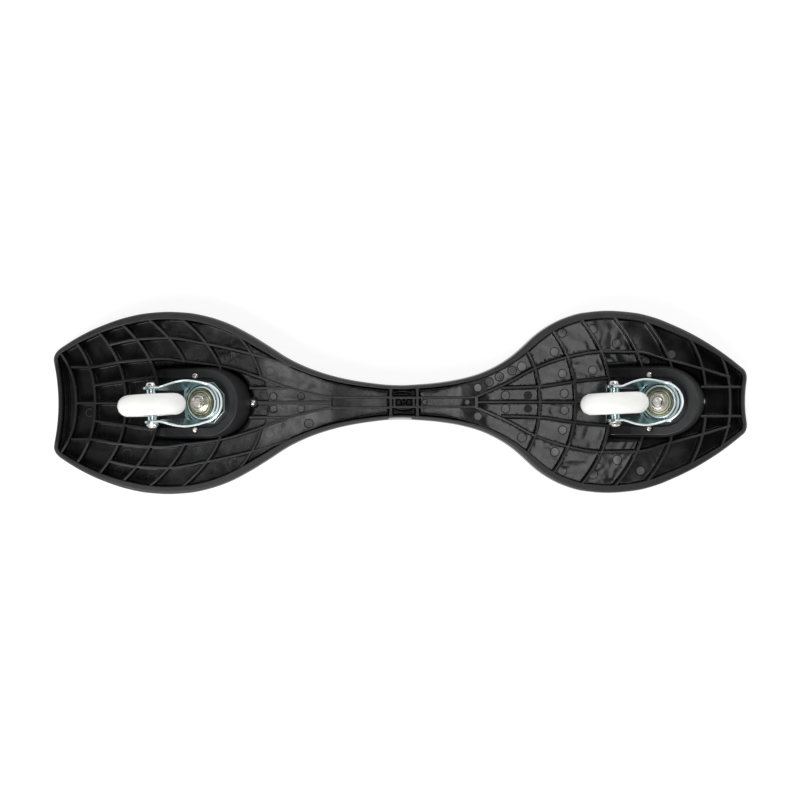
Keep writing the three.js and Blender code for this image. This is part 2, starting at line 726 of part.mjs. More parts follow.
// One leg's sheet, from the crown up to the round end at the axle.
// Each row holds the front and rear edge along X, the sheet's middle along Y and the height.
function legRows() {
  const between = (start, end, share) => start + (end - start) * share;
  const endRow = (angle) => [
    -trail - legEndRadius * Math.cos(angle), -trail + legEndRadius * Math.cos(angle), legMiddle,
    axleHeight + legEndRadius * Math.sin(angle)];
  return [
    ...legShares.map(([rise, front, rear, spread]) => [
      between(-crownBack, -trail - legEndRadius, front),
      between(crownRadius / 2, -trail + legEndRadius, rear),
      between(legMiddle, crownRadius - legThickness / 2, spread),
      between(crownLow, axleHeight - legEndRadius, rise),
    ]),
    ...legEndTurns.map((turn) => endRow(turn * Math.PI)),
  ];
}

function forkLeg(hand) {
  const rings = legRows().map(([front, rear, middle, height]) => {
    const [inside, outside] = [middle - legThickness / 2, middle + legThickness / 2].map((y) => hand * y);
    return [v3(front, inside, height), v3(rear, inside, height), v3(rear, outside, height), v3(front, outside, height)];
  });
  return solid(loft(rings, seenAlongZ));
}

function fork() {
  const rimInner = crownRadius - legThickness;
  const floor = solid(turned([
    [crownBore, crownLow], [crownRadius, crownLow], [crownRadius, crownTop + crownRimHeight],
    [rimInner, crownTop + crownRimHeight], [rimInner, crownTop], [crownBore, crownTop],
  ], fineSides));
  const behind = [v2(-2 * crownRadius, -crownRadius), v2(-crownBack, -crownRadius), v2(-crownBack, crownRadius),
    v2(-2 * crownRadius, crownRadius)];
  const trimmed = floor.subtract(solid(prism(behind, crownLow - overrun, crownTop + crownRimHeight + overrun)));
  const cup = solid(turned([
    [cupInner, crownTop - bite], [cupOuter, crownTop - bite], [cupOuter, cupTop], [cupInner, cupTop],
  ], fineSides));
  const axleHole = solid(rod(axleRadius + gap, -2 * legMiddle, 2 * legMiddle, smallSides)
    .rotateX(Math.PI / 2).translate(-trail, 0, axleHeight));
  return shaped(joined([trimmed, cup, forkLeg(1), forkLeg(-1)]).subtract(axleHole));
}

// Wheel pieces, turned round Z with the wheel's middle at zero

function tyre() {
  const halfWheel = wheelWidth / 2;
  const bore = hubRimOuter + gap;
  const crown = Array.from({ length: treadSteps + 1 }, (_, i) => {
    const angle = Math.PI * (i / treadSteps - 0.5);
    return [wheelRadius - halfWheel + halfWheel * Math.cos(angle), halfWheel * Math.sin(angle)];
  });
  const lip = hubRimWidth / 2;
  return turned([[bore, -lip], ...crown, [bore, lip]], fineSides);
}

function wheelHub() {
  const [rim, web, half] = [hubRimWidth / 2, hubWebThickness / 2, hubWidth / 2];
  const seat = half - bearingWidth - gap;
  const bearingSeat = bearingOuter + gap;
  const body = solid(turned([
    [hubBore, -seat], [bearingSeat, -seat], [bearingSeat, -half], [hubBarrelRadius, -half], [hubBarrelRadius, -web],
    [hubRimInner, -web], [hubRimInner, -rim], [hubRimOuter, -rim], [hubRimOuter, rim], [hubRimInner, rim],
    [hubRimInner, web], [hubBarrelRadius, web], [hubBarrelRadius, half], [bearingSeat, half], [bearingSeat, seat],
    [hubBore, seat],
  ], hubSides));
  const windowCircle = (hubBarrelRadius + hubRimInner) / 2;
  const holes = circle(windowCircle, windowCount).map((p) => (
    solid(rod(windowRadius, -half, half, windowSides).translate(p.x, p.y, 0))));
  return shaped(body.subtract(joined(holes)));
}

const bearing = (side) => {
  const middle = side * (hubWidth / 2 - bearingWidth / 2);
  const [low, high] = [middle - bearingWidth / 2, middle + bearingWidth / 2];
  return turned([[bearingBore, low], [bearingOuter, low], [bearingOuter, high], [bearingBore, high]], roundSides);
};

const tube = (inner, outer, low, high) => turned([[inner, low], [outer, low], [outer, high], [inner, high]], roundSides);

const sleeveHalf = hubWidth / 2 - bearingWidth - gap;
const bearingSleeve = () => tube(bearingBore, sleeveOuter, -sleeveHalf, sleeveHalf);

const legInside = legMiddle - legThickness / 2;
const legOutside = legMiddle + legThickness / 2;

const axleSpacer = (side) => {
  const [near, far] = [hubWidth / 2 + gap, legInside - gap];
  return side > 0 ? tube(bearingBore, spacerRadius, near, far) : tube(bearingBore, spacerRadius, -far, -near);
};

function axleBolt() {
  const start = legOutside + gap;
  const head = solid(rod(axleHeadRadius, start, start + axleHeadHeight, roundSides));
  const shank = solid(rod(axleRadius, -start - axleNutHeight - axleEnd, start + bite, smallSides));
  return shaped(head.add(shank));
}

const axleNut = () => prism(flatsOutline(axleNutFlats, 6), -legOutside - gap - axleNutHeight, -legOutside - gap,
  [circle(axleRadius + gap, smallSides)]);

// Assembly

const board = new THREE.Group();

function add(parent, name, geometry, look) {
  const mesh = new THREE.Mesh(geometry, look);
  mesh.name = name;
  parent.add(mesh);
  return mesh;
}

function addCaster(end, footX, yaw) {
  const caster = new THREE.Group();
  caster.position.set(footX, 0, seatZ);
  caster.rotation.y = -lean;
  board.add(caster);
  add(caster, `${end}_kingpin_bolt`, kingpinBolt(), steel);
  add(caster, `${end}_mount_plate`, mountPlate(), zinc);
  add(caster, `${end}_lower_race`, lowerRace(), bearingSteel);
  add(caster, `${end}_top_cone`, topCone(), oliveZinc);
  add(caster, `${end}_kingpin_nut`, kingpinNut(), steel);

  const swivel = new THREE.Group();
  swivel.rotation.z = yaw;
  caster.add(swivel);
  add(swivel, `${end}_lower_balls`, lowerBalls(), bearingSteel);
  add(swivel, `${end}_upper_balls`, upperBalls(), bearingSteel);
  add(swivel, `${end}_fork`, fork(), zinc);

  const axle = new THREE.Group();
  axle.position.set(-trail, 0, axleHeight);
  axle.rotation.x = -Math.PI / 2;
  swivel.add(axle);
  add(axle, `${end}_axle_bolt`, axleBolt(), steel);
  add(axle, `${end}_axle_nut`, axleNut(), steel);
  add(axle, `${end}_axle_spacer_left`, axleSpacer(1), zinc);
  add(axle, `${end}_axle_spacer_right`, axleSpacer(-1), zinc);
  add(axle, `${end}_bearing_sleeve`, bearingSleeve(), bearingSteel);
  add(axle, `${end}_wheel_bearing_left`, bearing(1), bearingSteel);
  add(axle, `${end}_wheel_bearing_right`, bearing(-1), bearingSteel);
  add(axle, `${end}_wheel_hub`, wheelHub(), hubPlastic);
  add(axle, `${end}_tyre`, tyre(), whiteTyre);
}

function screw(reach) {
  const head = solid(rod(screwHeadRadius, gap, gap + screwHeadHeight, smallSides));
  const shank = solid(rod(screwRadius, gap - reach, gap + bite, smallSides));
  return shaped(head.add(shank));
}

const deck = wholeDeck();
const [neckStart, neckEnd] = [neckX - neckTailReach, neckX + neckNoseReach];
add(board, 'deck_tail', shaped(lengthOf(deck, -halfBoard - overrun, neckStart)), deckPlastic);
add(board, 'deck_neck', shaped(lengthOf(deck, neckStart, neckEnd)), deckPlastic);
add(board, 'deck_nose', shaped(lengthOf(deck, neckEnd, halfBoard + overrun)), deckPlastic);
add(board, 'neck_badge', badgeStrip(), badgeSatin);

for (const [end, ends, footX, yaw] of [['tail', tailEnds, tailFootX, tailYaw], ['nose', noseEnds, noseFootX, noseYaw]]) {
  add(board, `${end}_foot_pad`, shaped(footPad(ends, footX)), gripRubber);
  for (const { name, reach, at } of screwPlaces(footX)) {
    add(board, `${end}_pad_screw_${name}`, screw(reach), steel).position.copy(at);
  }
  addCaster(end, footX, yaw);
}

export default board;
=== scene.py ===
# Looks of the caster board: a moulded plastic deck on two leaning swivel casters, lying on its deck.
# Metres, in the CAD model's frame: X runs from tail to nose, Y across the board, Z up.
import json
import math

import bmesh
import bpy
import numpy as np
from mathutils import Matrix, Vector
from mathutils.geometry import delaunay_2d_cdt


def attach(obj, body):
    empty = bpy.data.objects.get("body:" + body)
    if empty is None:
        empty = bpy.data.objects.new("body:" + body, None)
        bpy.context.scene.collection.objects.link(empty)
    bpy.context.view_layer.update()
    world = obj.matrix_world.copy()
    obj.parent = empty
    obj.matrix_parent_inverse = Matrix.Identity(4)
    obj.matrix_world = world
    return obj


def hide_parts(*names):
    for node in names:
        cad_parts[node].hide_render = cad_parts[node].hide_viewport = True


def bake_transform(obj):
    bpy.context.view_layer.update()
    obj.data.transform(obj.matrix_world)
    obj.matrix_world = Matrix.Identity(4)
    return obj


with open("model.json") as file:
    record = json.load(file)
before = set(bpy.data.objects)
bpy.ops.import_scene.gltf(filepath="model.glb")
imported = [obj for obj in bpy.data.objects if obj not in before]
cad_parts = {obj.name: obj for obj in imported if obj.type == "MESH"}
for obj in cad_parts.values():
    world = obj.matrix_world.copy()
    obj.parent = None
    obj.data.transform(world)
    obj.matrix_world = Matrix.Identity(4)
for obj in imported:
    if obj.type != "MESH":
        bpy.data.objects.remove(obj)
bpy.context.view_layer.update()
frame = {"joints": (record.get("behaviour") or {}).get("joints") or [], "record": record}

MM = 0.001

# Deck sizes, the same as the solid's
TAIL_LENGTH = 430 * MM
NOSE_LENGTH = 420 * MM
DECK_WIDTH = 222 * MM
NECK_WIDTH = 41.6 * MM
TAIL_DIP = 6.7 * MM
NOSE_DIP = 2.9 * MM
KICK_RISE = 16 * MM
KICK_LENGTH = 135 * MM
DECK_DEPTH = 22 * MM
TIP_DEPTH = 14 * MM
TIP_DEPTH_LENGTH = 100 * MM
SKIN = 3 * MM
RIM_WIDTH = 9.7 * MM
TIP_RIM_WIDTH = 6.5 * MM
NECK_RIM_WIDTH = 5 * MM
RIM_FULL_SHARE = 0.62
EDGE_ROUND = 4 * MM
SHOULDER = 4.2 * MM
SIDE_LEAN_SHARE = 0.2

HALF_BOARD = (TAIL_LENGTH + NOSE_LENGTH) / 2
HALF_DECK = DECK_WIDTH / 2
HALF_NECK = NECK_WIDTH / 2
NECK_X = TAIL_LENGTH - HALF_BOARD

# Fine sizes of the moulding
RIM_INNER_ROUND = 0.8 * MM
WALL_DRAFT = 0.35 * MM
FLOOR_FILLET = 1.8 * MM
OUTLINE_STEP = 2 * MM
OUTLINE_SOFTNESS = 3.2 * MM
FLOOR_GRID = 5 * MM
RIB_THICKNESS = 2.9 * MM
BRACE_THICKNESS = 3.5 * MM
BRACE_FLARE = 2.2 * MM
LOW_RIB_THICKNESS = 2 * MM
RIB_DROP = 1.5 * MM
RIB_DRAFT = 0.3 * MM
RIB_FILLET = 1.3 * MM
RIB_ROUND = 0.95 * MM
RIB_STEP = 3 * MM
RIB_ROOT = 1 * MM
SEAT_ROOT = 1.5 * MM
FOOT_SINK = 0.02 * MM
RIB_BOW = 2.35
RIB_OVERSHOOT = 1.15
END_STEP_INSET = 13.5 * MM
END_STEP_RISE = 1.4 * MM
END_STEP_THICKNESS = 1.6 * MM

# Half-widths: [share of the half's length from its tip, share of the way from neck to full width]
TAIL_WIDTH_SHARES = [
    (0, 0.371), (0.004, 0.426), (0.0143, 0.4885), (0.0371, 0.56), (0.0827, 0.683), (0.1397, 0.805),
    (0.2195, 0.93), (0.2765, 0.982), (0.3335, 1), (0.3905, 0.985), (0.4475, 0.932), (0.5046, 0.839),
    (0.5616, 0.701), (0.6186, 0.5345), (0.6756, 0.361), (0.7326, 0.234), (0.7896, 0.142),
    (0.8466, 0.077), (0.9037, 0.034), (0.9607, 0.0054), (1, 0),
]
NOSE_WIDTH_SHARES = [
    (0, 0.0866), (0.0015, 0.138), (0.006, 0.192), (0.0193, 0.242), (0.0426, 0.3234), (0.0776, 0.438),
    (0.1243, 0.572), (0.1651, 0.678), (0.2235, 0.805), (0.2818, 0.911), (0.3401, 0.974),
    (0.413, 1), (0.486, 0.9716), (0.5443, 0.892), (0.5735, 0.828), (0.6027, 0.7456), (0.6318, 0.64),
    (0.661, 0.5115), (0.6902, 0.395), (0.7193, 0.3018), (0.7485, 0.2273), (0.7777, 0.1678),
    (0.8069, 0.123), (0.8652, 0.0622), (0.9236, 0.0257), (0.9819, 0.0054), (1, 0),
]

# Cross ribs: (middle, bow, reach, start), the first two as shares of the half's length
# and the last two as shares of half the deck's width
TAIL_CROSS_SHARES = [
    (0.0713, 0.0428, 0.531, 0), (0.1277, 0.0487, 0.63, 0), (0.2158, 0.0733, 0.758, 0),
    (0.3093, 0.1023, 0.854, 0), (0.4048, 0.1217, 0.909, 0.435), (0.4974, 0.1212, 0.909, 0.343),
    (0.6043, 0.0721, 0.733, 0.28),
]
NOSE_CROSS_SHARES = [
    (0.0557, 0.0248, 0.481, 0), (0.1295, 0.0481, 0.701, 0.16), (0.2191, 0.0793, 0.855, 0.335),
    (0.3037, 0.089, 0.91, 0.345), (0.4058, 0.0791, 0.874, 0), (0.5064, 0.0642, 0.767, 0),
    (0.6094, 0.0353, 0.542, 0),
]

# Long ribs: rows of (share of the half's length from its tip, share of half the deck's width).
# Each has a twin on the other side of the middle, unless it runs along the middle.
TAIL_LONG_SHARES = [
    [(0.0713, 0), (0.3093, 0)],
    [(0.1254, 0.193), (0.2081, 0.238), (0.305, 0.286)],
    [(0.057, 0.396), (0.1112, 0.393), (0.1967, 0.443), (0.2822, 0.4725), (0.3221, 0.479), (0.382, 0.4505),
     (0.4818, 0.401), (0.5844, 0.289), (0.6899, 0.143), (0.7925, 0.055)],
    [(0.171, 0.635), (0.248, 0.692), (0.3335, 0.7066), (0.4418, 0.643), (0.533, 0.567), (0.6428, 0.4505),
     (0.6813, 0.401)],
    [(0.5644, 0.159), (0.68, 0.159)],
    [(0.7925, 0.056), (0.9618, 0.056)],
]
NOSE_LONG_SHARES = [
    [(0.4058, 0), (0.7937, 0)],
    [(0.9624, 0.05), (0.797, 0.052)],
    [(0.797, 0.052), (0.7019, 0.21), (0.6231, 0.368), (0.5283, 0.49), (0.4341, 0.546),
     (0.3323, 0.541), (0.2322, 0.443), (0.1418, 0.359), (0.0557, 0.268)],
    [(0.7193, 0.154), (0.6114, 0.169), (0.5093, 0.223), (0.4102, 0.26)],
    [(0.1447, 0.16), (0.012, 0.16)],
]

# Straight ribs across the neck: (half, share of its length from its tip, share of half the deck's width)
NECK_CROSS_SHARES = [("tail", 0.7925, 0.08), ("tail", 0.972, 0.05), ("nose", 0.973, 0.05)]
NECK_BRACE_SHARES = [("tail", 0.9618, 0.3), ("nose", 0.9624, 0.3)]
NECK_BAR_SHARE = 0.05
TAIL_SPINE_SHARES = [(0.588, 0), (0.7925, 0)]
NOSE_BLOCK_SHARE = ("nose", 0.7925, 0.052)
SPINE_THICKNESS = 4.4 * MM

# Raised floors in the neck, short of the braces: (start, end, bow of the start, length of the run-out)
NECK_LANDS = [(-160 * MM, -16 * MM, 36 * MM, 0), (24.5 * MM, 112 * MM, 0, 45 * MM)]
LAND_RISE = 5 * MM
LAND_GAP = 1.2 * MM
LAND_NECK_GAP = 3.1 * MM
LAND_BOW_WIDTH = 81 * MM
LAND_BOW_POWER = 1.6

# Low ribs between the braces: (x, y) of their points in mm
NECK_LOW_RIBS = [
    [(-6.5, 11.9), (-2, 13), (4, 13.4), (9, 12.8), (13.8, 11.6)],
    [(-7.5, -5.2), (-3, -7.2), (3, -8.2), (9, -7.8), (13.8, -6.4)],
    [(0.6, 5), (3, 1), (3.4, -1), (1.6, -5)],
    [(8.2, 5), (5.8, 1), (5.4, -1), (7.2, -5)],
]
NECK_LOW_SHARE = 0.6

# Ejector marks in mm: (x, y, radius, rise above the floor). A rise of zero is a thin raised ring, and one
# below it a round hole. Those in the first table have a twin across the middle.
TWIN_MARKS = [
    (-154, 7.6, 4.1, 0.5), (-120.4, 7.6, 4, 0.5), (-158.8, 38, 5.6, 0), (-247.4, 59, 5, 0),
    (-202.3, 73.2, 5, 0), (-209.6, 54.6, 5, 0), (94.2, 17.4, 4.7, 0.6), (148.1, 43.2, 5.2, 0.7),
    (128.1, 8.1, 4.9, 0.6), (155.4, 8.1, 4.9, -1.2), (187.9, 60.8, 5, 0.6), (197.6, 34.4, 4.8, 0.5),
    (199.8, 10.2, 4.8, 0.6), (197, 84, 5, 0.5), (234.5, 88.5, 5.2, 0.6), (263.8, 70.8, 5.2, 0.6),
]
LONE_MARKS = [
    (29.5, 0, 3, 0.5), (81.5, 0, 3, 0.5), (-141, -35.6, 4.3, 0), (-82.7, 17.5, 3.2, 0), (-273, 90, 5.2, 0),
    (-296.8, 68.8, 5.2, 0), (-298.7, -37.3, 4.8, 0), (-332.8, -61.5, 5.4, 0), (-343, -82, 4.8, 0),
    (-302, -90.5, 5, 0), (-379.2, -11.7, 4.6, 0), (234.5, 38.5, 4.8, 0.5), (330.6, 57.5, 5.2, 0.5),
    (292.2, -84, 5.2, 0.6), (299, 49.5, 4.8, 0.5),
]
MARK_GROOVE = 1
MARK_RING = 0.6
DIAL_PLACES = [(108.2, 24.3), (120.8, 30.7), (136.3, 38.2), (-111, -25.5)]
DIAL_RADIUS = 5

# Caster seats
LIP_HEIGHT = 4 * MM
LIP_SIDE = 40 * MM
LIP_FRONT = 43 * MM
LIP_ROUND = 1.1 * MM
WEDGE_FRONT = {"tail": 51.5 * MM, "nose": 58 * MM}
WEDGE_SIDE = 45 * MM
WEDGE_FILLET = 4 * MM
WEDGE_WALL = 4 * MM
SEAT_WALL = 5 * MM
RECESS_RADIUS = 29.6 * MM
RECESS_FRONT_SHARE = 1.05
RECESS_LENGTH = 120 * MM
RECESS_FILLET = 1.8 * MM
RECESS_ROUND = 1.2 * MM
SIDE_SCREW_BACK = 15.7 * MM
SIDE_SCREW_OUT = 32.2 * MM
FRONT_SCREW_AHEAD = 52 * MM
FRONT_BOSS_RADIUS = 5.2 * MM
FRONT_BOSS_RISE = 9 * MM
SPOT_FACE_RADIUS = 4 * MM

# Caster pieces, in mm: heights along the kingpin are from the mount plate's seat
PLATE_FLATS = 48.5
PLATE_LOW = 0.3
PLATE_TOP = 3.3
RACE_LOW = 3.6
RACE_TOP = 6.6
RACE_INNER = 10
RACE_OUTER = 21.5
LOWER_BALL_RADIUS = 2.2
LOWER_BALL_CIRCLE = 16
LOWER_BALLS = (LOWER_BALL_RADIUS, LOWER_BALL_CIRCLE, 8.1, 20)
UPPER_BALLS = (1.4, 11.4, 14.9, 22)
CROWN_LOW = 10.6
CROWN_TOP = 13.2
CROWN_BORE = 8.6
CROWN_BACK = 24
CROWN_BACK_BULGE = 1.4
CUP_INNER = 17.5
CUP_OUTER = 19.7
CUP_TOP = 15.4
CROWN_STEP = 0.8
CROWN_STEP_RADIUS = 23.8
GROOVE_TURNS = ((-40, 40), (116, 148), (212, 244))
DISH_HOLE_RADIUS = 1.05
DISH_HOLE_CIRCLE = 20
DISH_HOLE_TURNS = (0, 130, -110)
NUT_LOW = 18.7
NUT_TOP = 25.1
NUT_FLATS = 18
KINGPIN_RADIUS = 6
KINGPIN_END = 26.1
KINGPIN_HEAD_FLATS = 19
KINGPIN_HEAD_HEIGHT = 8
SHEET = 2.6
TRAIL = 42
AXLE_HEIGHT = 57.6
LEG_END_RADIUS = 9
LEG_MIDDLE = 20

# The fork's pressed side from the dish to one leg's end: lower edge (x, y, height), upper edge, and the share
# by which the sheet between them is drawn into the corner
DISH_LOWER = (25.2, 21.2)
DISH_UPPER = (28.8, 24)
DISH_LOW = 11.9
DISH_HIGH = 16.6
FORK_ROWS = [
    ((4.4, 20.8, 11.9), (8, 22.9, 17.6), 1), ((-2, 20.7, 11.9), (4, 24.1, 20), 1),
    ((-12, 19, 11.9), (-3, 26, 25), 0.85), ((-22, 17.8, 12.6), (-12, 27.1, 32.5), 0.55),
    ((-31, 17.6, 20), (-19, 25.8, 40), 0.25), ((-41, 18.4, 36), (-27.2, 22.6, 49), 0.1),
    ((-48.6, 19.8, 49), (-32, 20.4, 55), 0), ((-51, 20, 57.6), (-33, 20, 57.6), 0),
]

# Axle and wheel pieces, in mm, turned round the axle with the wheel's middle at zero
AXLE_RADIUS = 3.95
LEG_OUTSIDE = 21.7
AXLE_HEAD_HEIGHT = 5
FLANGE_RADIUS = 6.9
DOME_RADIUS = 5.9
AXLE_NUT_FLATS = 12.4
SPACER_RADIUS = 5.5
SPACER_NEAR = 12.5
SPACER_FAR = 18.3
WHEEL_RADIUS = 40
WHEEL_WIDTH = 25
TYRE_BORE = 25.9
TYRE_LIP = 9.5
HUB_RIM_OUTER = 25.6
HUB_RIM_INNER = 21.8
HUB_RIM_HALF = 9.5
HUB_WEB_HALF = 3.5
HUB_BARREL_RADIUS = 14.4
HUB_HALF = 12.2
HUB_BORE = 8
HUB_WINDOWS = 5
BEARING_OUTER = 11
BEARING_BORE = 4.2
BEARING_WIDTH = 7
SLEEVE_OUTER = 5.8
SLEEVE_HALF = 4.9

# Screws and foot pads
SCREW_SEAT = 0.3 * MM
SCREW_HEAD_MM = (3.3, 2.4)
SCREW_RADIUS_MM = 1.6
SCREW_REACH_MM = {"left": 20, "right": 20, "front": 11}
GRIP_ENDS = {"tail": (-381 * MM, -143 * MM), "nose": (149 * MM, 385 * MM)}
GRIP_INSET = 17 * MM
GRIP_END_SHARE = 0.02
GRIP_POWER = 7
GRIP_STEP = 3 * MM
GRIP_TOP = 1 * MM
GRIP_FACE = 1.2 * MM
GRIP_GROUND = 0.5 * MM
GRIP_BORDER = 3.2 * MM
GRIP_SPARE = 0.3 * MM
STUD_PITCH = 8 * MM
STUD_RADIUS = 2.6 * MM
SIDE_POST_RADIUS = 4.5 * MM
FRONT_POST_RADIUS = 3.6 * MM

# Badge strip on the neck's shoulder
BADGE_START = -14 * MM
BADGE_END = 14 * MM
BADGE_ANGLES = (12, 62)
BADGE_RISE = 0.3 * MM
BADGE_ROUND = 1.2 * MM

# Radians by which the kingpins' nuts are turned, and a radius in mm that no piece reaches
NUT_TURNS = {"tail": 0.3, "nose": 0.5}
NO_LIMIT = 1000


# Plain helpers

def distances(path):
    """Each point's distance along a path from its start."""
    return np.concatenate([[0], np.cumsum(np.linalg.norm(np.diff(path, axis=0), axis=1))])


def even_loop(loop, step):
    """A closed loop's points in even steps."""
    loop = np.concatenate([loop, loop[:1]])
    along = distances(loop)
    even = np.linspace(0, along[-1], round(along[-1] / step), endpoint=False)
    return np.stack([np.interp(even, along, column) for column in loop.T], 1)


def polar(radius, angle, height):
    """Points from their distance from Z, their angle round it and their height."""
    return np.stack(np.broadcast_arrays(radius * np.cos(angle), radius * np.sin(angle), height), -1)


def curve_through(rows):
    """A function through rows of (place, value): one cubic between each two rows, whose slope at a row is the
    weighted harmonic mean of the straight slopes beside it, so it never swings past the rows."""
    places, values = np.array(rows, float).T
    spans = np.diff(places)
    slopes = np.diff(values) / spans
    before, after = slopes[:-1], slopes[1:]
    same = before * after > 0
    w_before, w_after = 2 * spans[1:] + spans[:-1], spans[1:] + 2 * spans[:-1]
    safe_before, safe_after = np.where(same, before, 1), np.where(same, after, 1)
    middle = (w_before + w_after) / (w_before / safe_before + w_after / safe_after)
    at_rows = np.concatenate([slopes[:1], np.where(same, middle, 0), slopes[-1:]])

    def at(place):
        k = np.clip(np.searchsorted(places, place) - 1, 0, len(spans) - 1)
        t = (place - places[k]) / spans[k]
        start = values[k] * (1 + 2 * t) * (1 - t) ** 2 + spans[k] * at_rows[k] * t * (1 - t) ** 2
        return start + values[k + 1] * t * t * (3 - 2 * t) + spans[k] * at_rows[k + 1] * t * t * (t - 1)

    return at


def smooth_path(points, step):
    """A path through points, each coordinate a cubic along the straight distance, resampled step apart."""
    points = np.array(points, float)
    along = distances(points)
    if len(points) == 2:
        t = np.linspace(0, along[-1], max(2, math.ceil(along[-1] / step) + 1))
        return points[0] + (points[1] - points[0]) * (t / along[-1])[:, None]
    t = np.linspace(0, along[-1], math.ceil(along[-1] / step) + 1)
    return np.stack([curve_through(np.stack([along, column], 1))(t) for column in points.T], 1)


def grid_faces(rows, columns, wrap_rows=False, wrap_columns=False):
    """Quads over a grid of points numbered row by row."""
    r = np.arange(rows if wrap_rows else rows - 1)[:, None]
    c = np.arange(columns if wrap_columns else columns - 1)[None, :]
    r2, c2 = (r + 1) % rows, (c + 1) % columns
    quads = np.stack([r * columns + c, r * columns + c2, r2 * columns + c2, r2 * columns + c], -1)
    return quads.reshape(-1, 4)


def bezier(start, bend, end, count):
    """Points of a quadratic curve from start to end, drawn towards bend, without its first point."""
    steps = np.linspace(0, 1, count + 1)[1:]
    start, bend, end = (np.asarray(p, float) for p in (start, bend, end))
    return [(1 - t) ** 2 * start + 2 * t * (1 - t) * bend + t * t * end for t in steps]


def make_object(name, points, faces):
    """A mesh object from points and faces, with every face turned outwards."""
    mesh = bpy.data.meshes.new(name)
    mesh.from_pydata(np.asarray(points).tolist(), [], [list(map(int, face)) for face in faces])
    work = bmesh.new()
    work.from_mesh(mesh)
    bmesh.ops.recalc_face_normals(work, faces=work.faces)
    work.to_mesh(mesh)
    work.free()
    obj = bpy.data.objects.new(name, mesh)
    bpy.context.scene.collection.objects.link(obj)
    return obj


def swept(name, rings, closed=False):
    """A solid through rings of points, rings[i, j]. Its ends are closed flat unless the sweep is closed."""
    rings = np.asarray(rings, float)
    rows, columns = rings.shape[:2]
    faces = grid_faces(rows, columns, wrap_rows=closed, wrap_columns=True).tolist()
    if not closed:
        faces.append(list(range(columns))[::-1])
        faces.append(list(range((rows - 1) * columns, rows * columns)))
    return make_object(name, rings.reshape(-1, 3), faces)


def welded(obj):
    """Merges points that lie in the same place, as on a turned piece's axis, and turns the faces outwards."""
    work = bmesh.new()
    work.from_mesh(obj.data)
    bmesh.ops.remove_doubles(work, verts=work.verts, dist=1e-7)
    bmesh.ops.recalc_face_normals(work, faces=work.faces)
    work.to_mesh(obj.data)
    work.free()
    return obj


def lathe(name, profile, sides=96, unit=MM):
    """A solid turned round Z from a closed profile of (radius, height), in mm unless unit says otherwise. It
    keeps each point's radius in mm."""
    radius, height = np.array(profile, float).T * unit
    angle = np.linspace(0, 2 * np.pi, sides, endpoint=False)[:, None]
    points = polar(radius, angle, height).reshape(-1, 3)
    obj = make_object(name, points, grid_faces(sides, len(profile), wrap_rows=True, wrap_columns=True))
    obj.data.attributes.new("radius", "FLOAT", "POINT").data.foreach_set("value", np.tile(radius / MM, sides))
    return welded(obj)


def turned_arc(name, profile, start, end):
    """A closed profile of (radius, height) in mm turned round Z from start to end in degrees."""
    angle = np.radians(np.linspace(start, end, max(8, round((end - start) / 3))))[:, None]
    radius, height = np.array(profile, float).T
    return swept(name, polar(radius, angle, height) * MM)


def turned(name, rows, corners, sides=96):
    """A solid turned round Z from a closed profile of (radius, height) in mm. A row's third number keeps its
    radius within a polygon of that size across its flats: r = min(radius, flats / 2 / cos(angle from the
    nearest flat))."""
    radius, height, flats = np.array([(*row, NO_LIMIT)[:3] for row in rows], float).T
    angle = np.linspace(0, 2 * np.pi, sides, endpoint=False)[:, None]
    turn = np.pi / corners
    reach = np.minimum(radius, flats / 2 / np.cos((angle + turn) % (2 * turn) - turn))
    points = polar(reach, angle, height).reshape(-1, 3) * MM
    return welded(make_object(name, points, grid_faces(sides, len(rows), wrap_rows=True, wrap_columns=True)))


def balls(radius, circle, height, count):
    """A ring of balls in mm, each a closed surface of latitude and longitude with one point at each pole."""
    lat, lon = np.radians(np.linspace(-90, 90, 9))[:, None], np.linspace(0, 2 * np.pi, 14, endpoint=False)
    ball = polar(np.cos(lat), lon, np.sin(lat)).reshape(-1, 3) * radius
    middle = polar(circle, np.linspace(0, 2 * np.pi, count, endpoint=False), height)
    points = (ball + middle[:, None, :]).reshape(-1, 3) * MM
    faces = grid_faces(9, 14, wrap_columns=True) + (np.arange(count) * len(ball))[:, None, None]
    return welded(make_object("balls", points, faces.reshape(-1, 4)))


def copied(obj, name):
    """Another object with its own copy of the mesh."""
    twin = bpy.data.objects.new(name, obj.data.copy())
    bpy.context.scene.collection.objects.link(twin)
    return twin


def place(obj, matrix):
    """Moves an object's mesh, so that the object itself stays at the origin."""
    obj.data.transform(matrix)
    if matrix.determinant() < 0:
        obj.data.flip_normals()
    obj.data.update()
    return obj


def apply_modifier(obj, modifier):
    """Makes a modifier's result the object's own mesh."""
    bpy.context.view_layer.objects.active = obj
    bpy.ops.object.modifier_apply(modifier=modifier.name)


def boolean(target, other, operation):
    """Joins other to target or cuts it from target. Both are closed, and other is used up."""
    modifier = target.modifiers.new(operation.lower(), "BOOLEAN")
    modifier.operation, modifier.solver, modifier.object = operation, "MANIFOLD", other
    apply_modifier(target, modifier)
    bpy.data.objects.remove(other)
    return target


def fused(parts):
    """All of parts as one solid, joined two by two."""
    parts = list(parts)
    while len(parts) > 1:
        pairs = [parts[i:i + 2] for i in range(0, len(parts), 2)]
        parts = [boolean(pair[0], pair[1], "UNION") if len(pair) == 2 else pair[0] for pair in pairs]
    return parts[0]


def gathered(parts, name):
    """Parts that don't touch each other, as one object."""
    points, faces, start = [], [], 0
    for part in parts:
        co = np.array([v.co for v in part.data.vertices]).reshape(-1, 3)
        points.append(co)
        faces += [[start + i for i in polygon.vertices] for polygon in part.data.polygons]
        start += len(co)
        bpy.data.objects.remove(part)
    return make_object(name, np.concatenate(points), faces)


